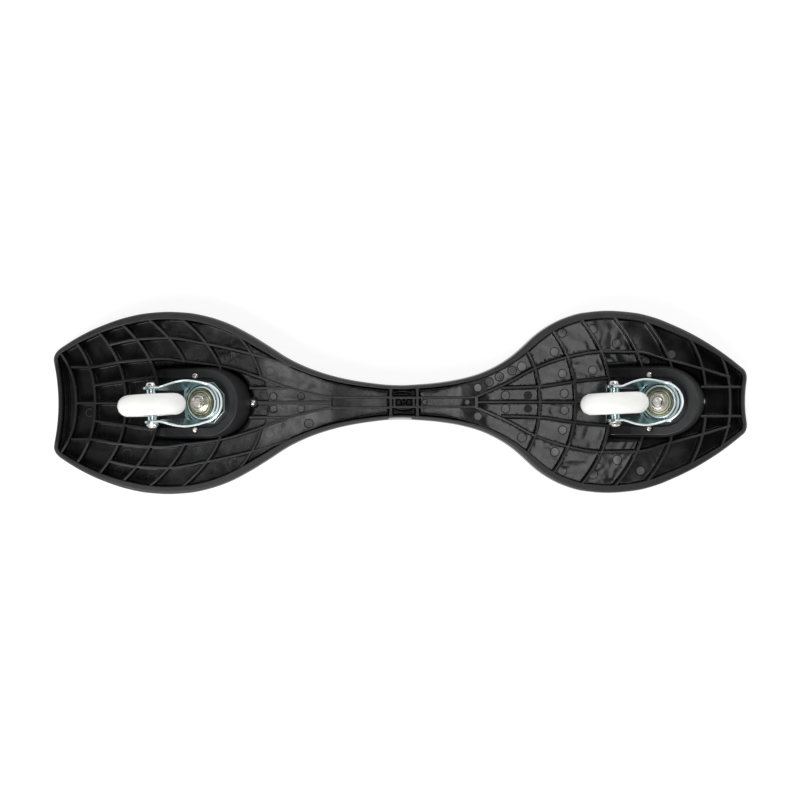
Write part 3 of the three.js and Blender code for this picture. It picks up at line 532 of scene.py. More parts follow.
def toned(obj, tones):
    """Gives the faces of a piece their tones, one for all or one each, which its finish reads: a painted
    highlight above zero and painted shade below it."""
    layer = obj.data.attributes.new("tone", "FLOAT", "FACE")
    layer.data.foreach_set("value", np.zeros(len(obj.data.polygons)) + tones)
    return obj


def face_middles(obj):
    """The middles of a piece's faces as (x, distance from Z, height) in mm."""
    middles = np.zeros(3 * len(obj.data.polygons))
    obj.data.polygons.foreach_get("center", middles)
    x, y, z = middles.reshape(-1, 3).T / MM
    return x, np.hypot(x, y), z


def smooth_shading(obj, angle=32):
    """Shades smooth with hard edges over the angle in degrees, and lets large faces set the normals."""
    for polygon in obj.data.polygons:
        polygon.use_smooth = True
    obj.data.set_sharp_from_angle(angle=math.radians(angle))
    weighted = obj.modifiers.new("weighted", "WEIGHTED_NORMAL")
    weighted.keep_sharp = True
    apply_modifier(obj, weighted)
    return obj


# Deck form

tail_width = curve_through(TAIL_WIDTH_SHARES)
nose_width = curve_through(NOSE_WIDTH_SHARES)


def half_width(x):
    """Half the deck's width at x: the two tables of shares, between the neck's and the full width."""
    tail_share = np.clip((x + HALF_BOARD) / TAIL_LENGTH, 0, 1)
    nose_share = np.clip((HALF_BOARD - x) / NOSE_LENGTH, 0, 1)
    share = np.where(x < NECK_X, tail_width(tail_share), nose_width(nose_share))
    return HALF_NECK + share * (HALF_DECK - HALF_NECK)


def from_tip(x):
    """How far x is from the nearer tip."""
    return HALF_BOARD - np.abs(x)


def ride_height(x):
    """Riding face: flat, with a parabola down to the floor at each tip."""
    return KICK_RISE * (1 - np.maximum(0, 1 - from_tip(x) / KICK_LENGTH) ** 2)


def rim_height(x):
    """Top of the rim: the depth grows from the tip's to the full one along a parabola."""
    grown = np.clip(from_tip(x) / TIP_DEPTH_LENGTH, 0, 1)
    return ride_height(x) + TIP_DEPTH + (DECK_DEPTH - TIP_DEPTH) * (1 - (1 - grown) ** 2)


def floor_height(x):
    """The wells' floor: the skin's thickness above the riding face."""
    return ride_height(x) + SKIN


def rim_width(x):
    """The rim's width: it grows with the deck's width from the neck on, and narrows towards the tips."""
    wide = (half_width(x) - HALF_NECK) / (HALF_DECK - HALF_NECK)
    full = NECK_RIM_WIDTH + (RIM_WIDTH - NECK_RIM_WIDTH) * np.clip(wide / RIM_FULL_SHARE, 0, 1)
    return TIP_RIM_WIDTH + (full - TIP_RIM_WIDTH) * np.clip(from_tip(x) / TIP_DEPTH_LENGTH, 0, 1)


def deck_outline():
    """The deck's edge in plan, anticlockwise, in even steps: the half-widths on both sides, a parabola that
    curves in at each end, and a Gaussian that rounds the corners."""
    xs = np.linspace(-HALF_BOARD, HALF_BOARD, 1600)
    across = np.linspace(-1, 1, 80)
    half = half_width(xs)
    nose = np.stack([HALF_BOARD - NOSE_DIP * (1 - across ** 2), across * half[-1]], 1)
    tail = np.stack([-HALF_BOARD + TAIL_DIP * (1 - across ** 2), -across * half[0]], 1)
    top, bottom = np.stack([xs, half], 1)[::-1], np.stack([xs, -half], 1)
    loop = np.concatenate([nose, top[1:-1], tail, bottom[1:-1]])
    length = distances(np.concatenate([loop, loop[:1]]))[-1]
    loop = even_loop(loop, OUTLINE_STEP)
    waves = np.fft.fftfreq(len(loop), length / len(loop))
    keep = np.exp(-2 * (np.pi * waves * OUTLINE_SOFTNESS) ** 2)
    return np.stack([np.fft.ifft(np.fft.fft(column) * keep).real for column in loop.T], 1)


def inward(loop):
    """Unit normals that point into an anticlockwise loop."""
    along = np.roll(loop, -1, axis=0) - np.roll(loop, 1, axis=0)
    along /= np.linalg.norm(along, axis=1)[:, None]
    return np.stack([-along[:, 1], along[:, 0]], 1)


def inside(points, loop):
    """Which points lie inside a closed loop, by counting the edges crossed on the way along +X."""
    ahead = np.roll(loop, -1, axis=0)
    low, high = loop[None, :, 1], ahead[None, :, 1]
    y = points[:, 1:2]
    crosses = (low > y) != (high > y)
    rise = np.where(high == low, 1, high - low)
    x = loop[None, :, 0] + (y - low) / rise * (ahead - loop)[None, :, 0]
    return (crosses & (points[:, 0:1] < x)).sum(1) % 2 == 1


def arc(count, start=0, end=90):
    """Cosines and sines along an arc, without its first point."""
    angle = np.radians(np.linspace(start, end, count + 1)[1:])
    return np.cos(angle), np.sin(angle)


def rim_profile(width):
    """Rows of (distance in from the edge, share of the depth, height to add) for a rim of that width, from
    the riding face round the outside to the floor: a quarter circle, a leaning side, a quarter ellipse, a
    flat top, a small rounding, a drafted wall and a fillet."""
    rows = [(EDGE_ROUND + 4 * MM + 0 * width, 0, 0), (EDGE_ROUND + 0 * width, 0, 0)]
    cos, sin = arc(5)
    rows += [(EDGE_ROUND * (1 - s) + 0 * width, 0, EDGE_ROUND * (1 - c)) for c, s in zip(cos, sin)]
    lean = SIDE_LEAN_SHARE * SHOULDER
    rows += [(lean + 0 * width, 1, -SHOULDER)]
    cos, sin = arc(6)
    rows += [(lean + (SHOULDER - lean) * (1 - c) + 0 * width, 1, -SHOULDER * (1 - s))
             for c, s in zip(cos, sin)]
    cos, sin = arc(4)
    r = RIM_INNER_ROUND
    rows += [(width - r, 1, 0)]
    rows += [(width - r * (1 - s), 1, -r * (1 - c)) for c, s in zip(cos, sin)]
    f = FLOOR_FILLET
    foot = width + WALL_DRAFT
    rows += [(foot, 0, SKIN + f)]
    cos, sin = arc(5)
    rows += [(foot + f * (1 - c), 0, SKIN + f * (1 - s)) for c, s in zip(cos, sin)]
    rows += [(foot + f + 0.4 * MM, 0, SKIN)]
    return rows


def plate(name, rings, normal, first_height, last_height):
    """A solid whose side runs through the rings, with a face triangulated inside its first and its last ring
    at heights given by functions of x. normal points inwards along each ring."""
    count = rings.shape[1]
    points, faces = [rings.reshape(-1, 3)], grid_faces(len(rings), count, wrap_columns=True).tolist()
    total = len(rings) * count
    edges = [(i, (i + 1) % count) for i in range(count)]
    grid = np.stack(np.meshgrid(np.arange(-HALF_BOARD, HALF_BOARD, FLOOR_GRID),
                                np.arange(-HALF_DECK, HALF_DECK, FLOOR_GRID)), -1).reshape(-1, 2)
    for row, height in ((0, first_height), (len(rings) - 1, last_height)):
        border = rings[row, :, :2]
        free = grid[inside(grid, border + normal * 3 * MM)]
        flat = [Vector(p) for p in np.concatenate([border, free])]
        _, _, made, origin, _, _ = delaunay_2d_cdt(flat, edges, [], 1, 1e-7)
        number = [source[0] for source in origin]
        for face in made:
            faces.append([row * count + number[i] if number[i] < count else total + number[i] - count
                          for i in face])
        points.append(np.column_stack([free, height(free[:, 0])]))
        total += len(free)
    return make_object(name, np.concatenate(points), faces)


def deck_shell():
    """The deck without ribs and seats: the rim's profile carried round the outline."""
    loop = deck_outline()
    normal = inward(loop)
    rings = []
    for distance, share, extra in rim_profile(rim_width(loop[:, 0])):
        ring = loop + normal * distance[:, None]
        x = ring[:, 0]
        low, high = ride_height(x), rim_height(x)
        rings.append(np.column_stack([ring, low + share * (high - low) + extra]))
    return plate("deck", np.array(rings), normal, ride_height, floor_height)


# Ribs

def rim_reach(x, share=1):
    """How far from the middle a share of the rim's width ends at x, measured square to the slanting edge."""
    slope = (half_width(x + OUTLINE_STEP) - half_width(x - OUTLINE_STEP)) / (2 * OUTLINE_STEP)
    return half_width(x) - rim_width(x) * share * np.sqrt(1 + slope ** 2)


def within_rim(path):
    """Keeps the points of a path that are inside the rim or in the inner half of its width."""
    x, y = path.T
    keep = (np.abs(y) < rim_reach(x, 0.5)) & (from_tip(x) > TIP_RIM_WIDTH / 2 + TAIL_DIP * (x < 0))
    return path[keep]


def rib(path, thickness=RIB_THICKNESS, share=1, flare=0, rise=None):
    """A rib along a path in plan: a drafted wall with a rounded top and a filleted foot. flare widens it
    towards both ends, as exp(-distance / flare). share scales its height, which rise replaces."""
    path = within_rim(smooth_path(path, RIB_STEP / 8))
    along = distances(path)
    even = np.linspace(0, along[-1], max(3, math.ceil(along[-1] / RIB_STEP) + 1))
    if flare:
        bend = np.linspace(0, 1, 12) ** 2 * 4 * flare
        even = np.unique(np.concatenate([even, bend, along[-1] - bend]))
        even = even[(even >= 0) & (even <= along[-1])]
    path = np.stack([np.interp(even, along, column) for column in path.T], 1)
    tangent = np.gradient(path, axis=0)
    tangent /= np.linalg.norm(tangent, axis=1)[:, None]
    side = np.stack([-tangent[:, 1], tangent[:, 0]], 1)
    half = np.full(len(even), thickness / 2)
    if flare:
        half = half + flare * (np.exp(-even / flare) + np.exp(-(along[-1] - even) / flare))
    foot = half + RIB_DRAFT
    cos, sin = arc(3)
    section = [(foot + RIB_FILLET, 0, -RIB_ROOT), (foot + RIB_FILLET, 0, -FOOT_SINK)]
    section += [(foot + RIB_FILLET * (1 - s), 0, RIB_FILLET * (1 - c)) for c, s in zip(cos, sin)]
    section += [(half, 1, -RIB_ROUND)]
    section += [(half - RIB_ROUND * (1 - c), 1, -RIB_ROUND * (1 - s)) for c, s in zip(cos, sin)]
    section += [(-offset, level, extra) for offset, level, extra in section[::-1]]
    rings = []
    for offset, level, extra in section:
        plan = path + side * offset[:, None]
        floor = floor_height(plan[:, 0])
        height = (rim_height(plan[:, 0]) - RIB_DROP - floor) * share if rise is None else rise
        rings.append(np.column_stack([plan, floor + level * height + extra]))
    return swept("rib", np.array(rings).transpose(1, 0, 2))


def tail_x(share):
    """Where a share of the tail half's length from its tip lies."""
    return -HALF_BOARD + share * TAIL_LENGTH


def nose_x(share):
    """Where a share of the nose half's length from its tip lies."""
    return HALF_BOARD - share * NOSE_LENGTH


def cross_lines(rows, x_of, length):
    """Cross ribs' paths: x falls back from the middle's as bow * (|y| / reach) ** RIB_BOW."""
    lines = []
    for middle, bow, reach, start in rows:
        across = np.linspace(start, reach * RIB_OVERSHOOT, 30)
        back = bow * length * (across / reach) ** RIB_BOW
        line = np.stack([x_of(middle) - back, across * HALF_DECK], 1)
        other = line * [1, -1]
        lines += [line, other] if start else [np.concatenate([other[:0:-1], line])]
    return lines


def long_lines(table, x_of):
    """Long ribs' paths from a table of shares, each with its twin unless it runs along the middle."""
    lines = []
    for rows in table:
        line = np.array([(x_of(along), across * HALF_DECK) for along, across in rows])
        lines += [line, line * [1, -1]] if np.any(line[:, 1]) else [line]
    return lines


def neck_line(row):
    """The path of a straight rib across the neck."""
    half, along, across = row
    x = tail_x(along) if half == "tail" else nose_x(along)
    return np.array([(x, -across * HALF_DECK), (x, across * HALF_DECK)])


def deck_ribs():
    """Every rib, step and raised floor of the deck, as one solid."""
    lines = cross_lines(TAIL_CROSS_SHARES, tail_x, TAIL_LENGTH)
    lines += cross_lines(NOSE_CROSS_SHARES, nose_x, NOSE_LENGTH)
    lines += long_lines(TAIL_LONG_SHARES, tail_x) + long_lines(NOSE_LONG_SHARES, nose_x)
    lines += [neck_line(row) for row in NECK_CROSS_SHARES]
    braces = [neck_line(row) for row in NECK_BRACE_SHARES]
    start, end = braces[0][0][0], braces[1][0][0]
    bar = NECK_BAR_SHARE * HALF_DECK
    lines += [np.array([(start, y), (end, y)]) for y in (-bar, bar)]
    spines = long_lines([TAIL_SPINE_SHARES], tail_x) + [neck_line(NOSE_BLOCK_SHARE)]
    ribs = [rib(line) for line in lines] + [rib(line, SPINE_THICKNESS) for line in spines]
    ribs += [rib(line, BRACE_THICKNESS, flare=BRACE_FLARE) for line in braces]
    ribs += [rib(np.array(line) * MM, LOW_RIB_THICKNESS, share=NECK_LOW_SHARE) for line in NECK_LOW_RIBS]
    return fused(ribs + [end_step(1), end_step(-1)] + [neck_land(*row) for row in NECK_LANDS])


def land_back(y, bow):
    """How far a raised floor's start falls back at y: bow * (|y| / LAND_BOW_WIDTH) ** LAND_BOW_POWER."""
    return bow * (np.abs(y) / LAND_BOW_WIDTH) ** LAND_BOW_POWER


def land_rise(x, end, run_out):
    """A raised floor's height above the floor, which falls along the last run_out as t * t * (3 - 2 t)."""
    t = np.clip((end - x) / run_out, 0, 1) if run_out else 1 + 0 * x
    return LAND_RISE * t * t * (3 - 2 * t)


def neck_land(start, end, bow, run_out):
    """A raised floor in the neck, a gap short of the rim's wall, with rounded edges."""
    edge = np.array([0, 0.25, 0.8]) * MM
    edge_drop = np.array([0.7, 0.2, 0]) * MM
    x = np.concatenate([[start], start + edge, np.linspace(start + 3 * MM, end - 3 * MM, 40),
                        end - edge[::-1], [end]])
    drop_along = np.concatenate([[0], edge_drop, np.zeros(40), edge_drop[::-1], [0]])[:, None]
    t = np.concatenate([np.full(3, -1), np.linspace(-1, 0, 10)[:-1]])
    inset = np.concatenate([edge, -4 * MM * t[3:]])
    t, inset = np.concatenate([t, [0], -t[::-1]]), np.concatenate([inset, [0], -inset[::-1]])
    drop_across = np.concatenate([edge_drop, np.zeros(19), edge_drop[::-1]])
    fade = ((end - x) / (end - start))[:, None] ** 2
    wide = x[:, None] + 0 * t
    for _ in range(3):
        narrow = LAND_NECK_GAP * (1 - np.clip((half_width(wide) - HALF_NECK) / HALF_NECK, 0, 1))
        y = t * (rim_reach(wide) - LAND_GAP - narrow) + inset
        wide = x[:, None] - fade * land_back(y, bow)
    low = floor_height(wide) - RIB_ROOT
    top = floor_height(wide) + land_rise(wide, end, run_out) - np.maximum(drop_along, drop_across)
    top[[0, -1]] = low[[0, -1]]
    rings = np.concatenate([np.stack([wide, y, top], -1), np.stack([wide, y, low], -1)[:, ::-1]], axis=1)
    faces = grid_faces(len(x), rings.shape[1], wrap_columns=True)
    return welded(make_object("land", rings.reshape(-1, 3), faces))


def end_step(side):
    """The low step that follows an end's edge, inside the rim."""
    dip, half = (NOSE_DIP, nose_width(0)) if side > 0 else (TAIL_DIP, tail_width(0))
    reach = HALF_NECK + half * (HALF_DECK - HALF_NECK)
    y = np.linspace(-1, 1, 21) * reach
    x = side * (HALF_BOARD - END_STEP_INSET) - side * dip * (1 - (y / reach) ** 2)
    return rib(np.stack([x, y], 1), END_STEP_THICKNESS, rise=END_STEP_RISE)


# Caster seats

joints = {joint["name"]: joint for joint in frame["joints"]}


def axes(origin, y_axis, z_axis):
    """A matrix that places a piece at origin with its own Y and Z along the two directions."""
    y, z = Vector(y_axis).normalized(), Vector(z_axis).normalized()
    matrix = Matrix((y.cross(z), y, z)).transposed().to_4x4()
    matrix.translation = origin
    return matrix


seats = {end: axes(joints[f"{end}_swivel"]["pos_m"], (0, 1, 0), joints[f"{end}_swivel"]["axis"])
         for end in ("tail", "nose")}
swivels = {end: axes(joints[f"{end}_swivel"]["pos_m"], joints[f"{end}_wheel_spin"]["axis"],
                     joints[f"{end}_swivel"]["axis"]) for end in seats}
SEAT_RIBS = {"tail": (TAIL_CROSS_SHARES[3], tail_x, TAIL_LENGTH),
             "nose": (NOSE_CROSS_SHARES[4], nose_x, NOSE_LENGTH)}


def seat_rib_x(end, y):
    """Where the cross rib that closes a seat at its low end stands at y."""
    (middle, bow, reach, _), x_of, length = SEAT_RIBS[end]
    return x_of(middle) - bow * length * (np.abs(y) / HALF_DECK / reach) ** RIB_BOW


def seat_block(end, plane, inset=0, fillet=0, rounding=0, low=None):
    """A seat's wedge: straight lines from its outline on the floor (half an ellipse in front, straight sides,
    and the cross rib behind) up to its outline in a leaning plane, with a quadratic curve at both ends of
    each line."""
    foot = seats[end].translation
    normal = np.array(seats[end].col[2][:3])
    theta = np.radians(np.linspace(-90, 90, 61))
    run = np.linspace(0, 1, 16)[1:]
    across = np.linspace(1, -1, 25)[1:-1]

    def back_rib(y):
        return seat_rib_x(end, y) - foot.x + inset

    def outline(front, side, start):
        """(x ahead of the foot, y) round the wedge: right side, front, left side, back."""
        edge = np.stack([start + (back_rib(side) - start) * run, side + 0 * run], 1)
        nose = np.stack([start + front * np.cos(theta), side * np.sin(theta)], 1)
        back = np.stack([back_rib(across * side), across * side], 1)
        return np.concatenate([edge[::-1] * [1, -1], nose, edge, back])

    def unit(vectors):
        return vectors / np.linalg.norm(vectors, axis=1)[:, None]

    base_front, base_side = WEDGE_FRONT[end] - inset, WEDGE_SIDE - inset
    lean_x = -normal[0]
    base = outline(base_front, base_side, 0)
    top = outline((LIP_FRONT - inset) * normal[2], LIP_SIDE - inset, -plane * lean_x)
    side_out = np.stack([0 * run, 1 + 0 * run], 1)
    nose_out = unit(np.stack([np.cos(theta) / base_front, np.sin(theta) / base_side], 1))
    out = np.concatenate([side_out * [1, -1], nose_out, side_out, np.stack([-1 + 0 * across, 0 * across], 1)])
    out = np.column_stack([out, 0 * out[:, 0]])

    def on_floor(plan):
        x = foot.x + plan[:, 0]
        return np.column_stack([x, plan[:, 1], floor_height(x) if low is None else 0 * x + low])

    start = on_floor(base + out[:, :2] * fillet)
    base = on_floor(base)
    top = np.column_stack([foot.x + top[:, 0], top[:, 1], foot.z + (plane + lean_x * top[:, 0]) / normal[2]])
    up = unit(top - base)
    inwards = -unit(out - (out @ normal)[:, None] * normal)
    levels = [start - [0, 0, SEAT_ROOT], start - [0, 0, FOOT_SINK]]
    if fillet:
        levels += bezier(start, base, base + up * fillet, 5)
    levels += [top - up * rounding]
    if rounding:
        levels += bezier(top - up * rounding, top, top + inwards * rounding, 5)
    return swept("seat", np.array(levels))


def recess_cutter(end):
    """The recess round the mount plate: half an ellipse in front and open behind, with a filleted floor and a
    rounded edge at the lip."""
    r, flare = RECESS_RADIUS, RECESS_ROUND
    rows = [(r - RECESS_FILLET, 0), *bezier((r - RECESS_FILLET, 0), (r, 0), (r, RECESS_FILLET), 5),
            (r, LIP_HEIGHT - flare),
            *bezier((r, LIP_HEIGHT - flare), (r, LIP_HEIGHT), (r + flare, LIP_HEIGHT), 5),
            (r + flare + 1 * MM, LIP_HEIGHT + 0.03 * MM), (r + 8 * MM, LIP_HEIGHT + 40 * MM)]
    theta = np.radians(np.linspace(-90, 90, 61))
    rings = []
    for radius, height in rows:
        ring = np.stack([radius * RECESS_FRONT_SHARE * np.cos(theta), radius * np.sin(theta)], 1)
        ring = np.concatenate([ring, [(-RECESS_LENGTH, radius), (-RECESS_LENGTH, -radius)]])
        rings.append(np.column_stack([ring, 0 * ring[:, 0] + height]))
    return place(swept("recess", np.array(rings)), seats[end])


def screw_places(end):
    """Where the heads of an end's three foot pad screws sit."""
    foot = seats[end].translation
    normal = seats[end].col[2]
    slope = -normal[0] / normal[2]
    side_z = foot.z + LIP_HEIGHT / normal[2] - (SIDE_SCREW_BACK + SPOT_FACE_RADIUS) * slope
    front_x = foot.x + FRONT_SCREW_AHEAD
    front_z = float(floor_height(front_x)) + FRONT_BOSS_RISE
    places = {key: Vector((foot.x - SIDE_SCREW_BACK, side * SIDE_SCREW_OUT, side_z))
              for key, side in (("left", 1), ("right", -1))}
    return {**places, "front": Vector((front_x, 0, front_z))}


def front_boss(top):
    """The small cone under the front screw, from below the floor to the screw's seat."""
    r, fillet, edge, floor = FRONT_BOSS_RADIUS / MM, 1.6, 0.6, -FRONT_BOSS_RISE / MM
    foot = (r + edge + fillet, floor)
    rows = [(0, floor - 1.5), (foot[0], floor - 1.5), foot,
            *bezier(foot, (r + edge, floor), (r + 0.5, floor + fillet), 5),
            (r, -edge), *bezier((r, -edge), (r, 0), (r - edge, 0), 4), (0, 0)]
    return place(lathe("boss", rows, 48), Matrix.Translation(top))


def add_seat(deck, end):
    """Adds an end's wedge with its recess and hollow, the front screw's boss and the side screws' flats."""
    block = boolean(seat_block(end, LIP_HEIGHT, 0, WEDGE_FILLET, LIP_ROUND), recess_cutter(end), "DIFFERENCE")
    boolean(deck, block, "UNION")
    places = screw_places(end)
    boolean(deck, front_boss(places["front"]), "UNION")
    boolean(deck, seat_block(end, -SEAT_WALL, WEDGE_WALL, low=-2 * MM), "DIFFERENCE")
    r = SPOT_FACE_RADIUS / MM
    for key in ("left", "right"):
        flat = lathe("spot_face", [(0, 0), (r - 0.3, 0), (r, 0.3), (r + 0.4, 12), (0, 12)], 48)
        boolean(deck, place(flat, Matrix.Translation(places[key])), "DIFFERENCE")


# Ejector marks and date dials

def land_height(x, y):
    """The floor's height at a point, with the neck's raised floors."""
    rises = [land_rise(x, end, run_out) for start, end, bow, run_out in NECK_LANDS
             if start - land_back(y, bow) < x < end]
    return float(floor_height(x) + sum(rises))


def on_floor(obj, x, y):
    """Moves a piece onto the floor at a point in mm."""
    return place(obj, Matrix.Translation((x * MM, y * MM, land_height(x * MM, y * MM))))


def mark(x, y, radius, rise):
    """One ejector mark: a low disc or ring that stands on the floor, or a cutter that sinks into it."""
    near, far, top = radius - MARK_RING, radius + MARK_RING, 0.45
    if rise > 0:
        rows = [(0, -1), (radius + 0.1, -1), (radius, 0), (radius - 0.15, rise), (0, rise)]
    elif rise == 0:
        rows = [(near, -1), (far, -1), (far, 0), (far - 0.3, top), (near + 0.3, top), (near, 0)]
    else:
        rows = [(0, rise), (radius, rise), (radius + 0.2, 0), (radius + 0.3, 1), (0, 1)]
    return on_floor(lathe("mark", rows, 28), x, y)


def moat(x, y, radius):
    """The cutter for the groove round a raised mark."""
    inner, outer = radius - 0.3, radius + MARK_GROOVE
    rows = [(inner, -0.8), (outer - 0.2, -0.8), (outer + 0.1, 1), (inner, 1)]
    return on_floor(lathe("moat", rows, 28), x, y)


def dial(x, y):
    """A generic date dial: a low disc with a deep ring groove and a small knob."""
    r, rise, low = DIAL_RADIUS, 0.5, -0.4
    rows = [(0, -1.2), (r + 0.1, -1.2), (r, rise), (r * 0.88, rise), (r * 0.84, low), (r * 0.58, low),
            (r * 0.54, rise), (r * 0.4, rise), (r * 0.36, low), (r * 0.2, low), (r * 0.16, rise), (0, rise)]
    return on_floor(lathe("dial", rows, 36), x, y)


def add_marks(deck):
    """Cuts the grooves and holes into the floors, and sets the discs, rings and dials on them."""
    rows = LONE_MARKS + TWIN_MARKS + [(x, -y, r, rise) for x, y, r, rise in TWIN_MARKS]
    ringed = [row[:3] for row in rows if row[3] > 0] + [(x, y, DIAL_RADIUS) for x, y in DIAL_PLACES]
    sunken = [moat(*row) for row in ringed] + [mark(*row) for row in rows if row[3] < 0]
    # Painted shade on the grooves, holes and dials, and a painted highlight on the raised discs and rings
    boolean(deck, toned(gathered(sunken, "sunken"), -1), "DIFFERENCE")
    boolean(deck, toned(gathered([mark(*row) for row in rows if row[3] >= 0], "raised"), 1), "UNION")
    boolean(deck, toned(gathered([dial(*spot) for spot in DIAL_PLACES], "dials"), -0.8), "UNION")


# Materials

# Where the deck's masks go from 0 to 1: heights above the riding face, and distances from the board's middle
WELL_HEIGHTS = (13 * MM, 9.5 * MM)
GAP_HEIGHTS = (7 * MM, 5 * MM)
GAP_REACH = (90 * MM, 60 * MM)
BELOW_RIM_HEIGHTS = (DECK_DEPTH - 0.3 * MM, DECK_DEPTH - 0.7 * MM)
BELOW_RIM_REACH = (340 * MM, 310 * MM)
NOSE_HALF_REACH = (20 * MM, 70 * MM)
SEAT_REACH = (50 * MM, 46 * MM)

# Painted sheen on the floors along the board, grey in place of reflected light: (x in mm, amount)
PAINTED_SHEEN_ROWS = [
    (-425, 0.02), (-300, 0.2), (-171, 0.26), (-161, 0.85), (-120, 1), (-100, 0.7), (-78, 0.1), (-30, 0.36),
    (-13.4, 0.44), (-12.6, 0), (22.4, 0), (23.2, 0.45), (90, 0.95), (160, 0.95), (205, 0.42), (262, 0.36),
    (320, 0.26), (372, 0.01),
]

# How much shade is painted on the seats behind the casters, along the board: (x in mm, amount)
SHADE_ROWS = [
    (-340, 1), (-262, 1), (-232, 0.1), (-150, 0), (100, 0), (215, 1), (282, 1), (312, 0.1), (360, 0),
]

# Painted light and shade on the top cone's plating: (radius in mm, colour that multiplies it)
PAINTED_CONE_LIGHT_ROWS = [
    (8, (1, 1, 1)), (12, (1, 1, 0.98)), (12.2, (0.12, 0.13, 0.1)), (12.9, (0.16, 0.18, 0.13)),
    (13.2, (1, 1, 0.92)), (14.5, (0.9, 0.9, 0.78)), (14.8, (0.12, 0.13, 0.1)), (15.5, (0.2, 0.22, 0.17)),
    (15.8, (0.66, 0.68, 0.56)), (16.5, (0.4, 0.43, 0.34)), (17.2, (0.14, 0.16, 0.12)),
]


def wired(tree, node, inputs):
    """Sets a node's inputs to values, or joins them to other nodes' outputs."""
    for key, value in inputs.items():
        if isinstance(value, bpy.types.NodeSocket):
            tree.links.new(value, node.inputs[key])
        else:
            node.inputs[key].default_value = value
    return node


def linked(tree, kind, inputs=None, **settings):
    """A new node with its settings and inputs."""
    node = tree.nodes.new(kind)
    for key, value in settings.items():
        setattr(node, key, value)
    return wired(tree, node, inputs or {})


def ranged(tree, value, start, end, low=0, high=1, **settings):
    """A value carried from start and end to low and high, which hold beyond them."""
    limits = {"Value": value, "From Min": start, "From Max": end, "To Min": low, "To Max": high}
    return linked(tree, "ShaderNodeMapRange", limits, **settings).outputs["Result"]


def combined(tree, operation, *values):
    """The result of a Math node."""
    return linked(tree, "ShaderNodeMath", dict(enumerate(values)), operation=operation).outputs["Value"]


def mixed(tree, share, first, second, blend="MIX"):
    """Two colours mixed by a share."""
    inputs = {0: share, 6: first, 7: second}
    return linked(tree, "ShaderNodeMix", inputs, data_type="RGBA", blend_type=blend).outputs[2]


def noise(tree, place_at, scale, detail, roughness=0.5, distortion=0):
    """A noise in object coordinates."""
    inputs = {"Vector": place_at, "Scale": scale, "Detail": detail, "Roughness": roughness,
              "Distortion": distortion}
    return linked(tree, "ShaderNodeTexNoise", inputs).outputs["Fac"]


def group(name, given, made):
    """A new node group and its output node. The socket Normal is a vector, and the others are numbers."""
    tree = bpy.data.node_groups.new(name, "ShaderNodeTree")
    for in_out, sockets in (("INPUT", given), ("OUTPUT", made)):
        for socket in sockets:
            kind = "NodeSocketVector" if socket == "Normal" else "NodeSocketFloat"
            tree.interface.new_socket(socket, in_out=in_out, socket_type=kind)
    return tree, tree.nodes.new("NodeGroupOutput")


def surface_group():
    """Varying masks over a surface: broad patches, and a normal roughened by fine specks."""
    tree, result = group("surface", ("Patch Scale", "Fine Scale", "Bump"), ("Patch", "Normal"))
    given = tree.nodes.new("NodeGroupInput").outputs
    place_at = tree.nodes.new("ShaderNodeTexCoord").outputs["Object"]
    patch = ranged(tree, noise(tree, place_at, given["Patch Scale"], 5, 0.62, 0.4), 0.34, 0.68)
    fine = noise(tree, place_at, given["Fine Scale"], 3)
    bump = linked(tree, "ShaderNodeBump", {"Strength": given["Bump"], "Distance": 0.0003, "Height": fine})
    wired(tree, result, {"Patch": patch, "Normal": bump.outputs["Normal"]})
    return tree


def tone_ramp(tree, value, rows):
    """A colour that follows value through rows of (value, colour), the first and last of which hold beyond
    the ends."""
    low, high = rows[0][0], rows[-1][0]
    ramp = linked(tree, "ShaderNodeValToRGB", {"Fac": ranged(tree, value, low, high)})
    elements = ramp.color_ramp.elements
    elements[0].color = (*rows[0][1], 1)
    elements[1].color = (*rows[-1][1], 1)
    for at, tone in rows[1:-1]:
        elements.new((at - low) / (high - low)).color = (*tone, 1)
    return ramp.outputs["Color"]


def face_tones(tree):
    """The tones that a piece's faces were given, as two masks: painted highlight and painted shade."""
    tone = linked(tree, "ShaderNodeAttribute", attribute_name="tone").outputs["Fac"]
    return [ranged(tree, tone, 0, end) for end in (1, -1)]


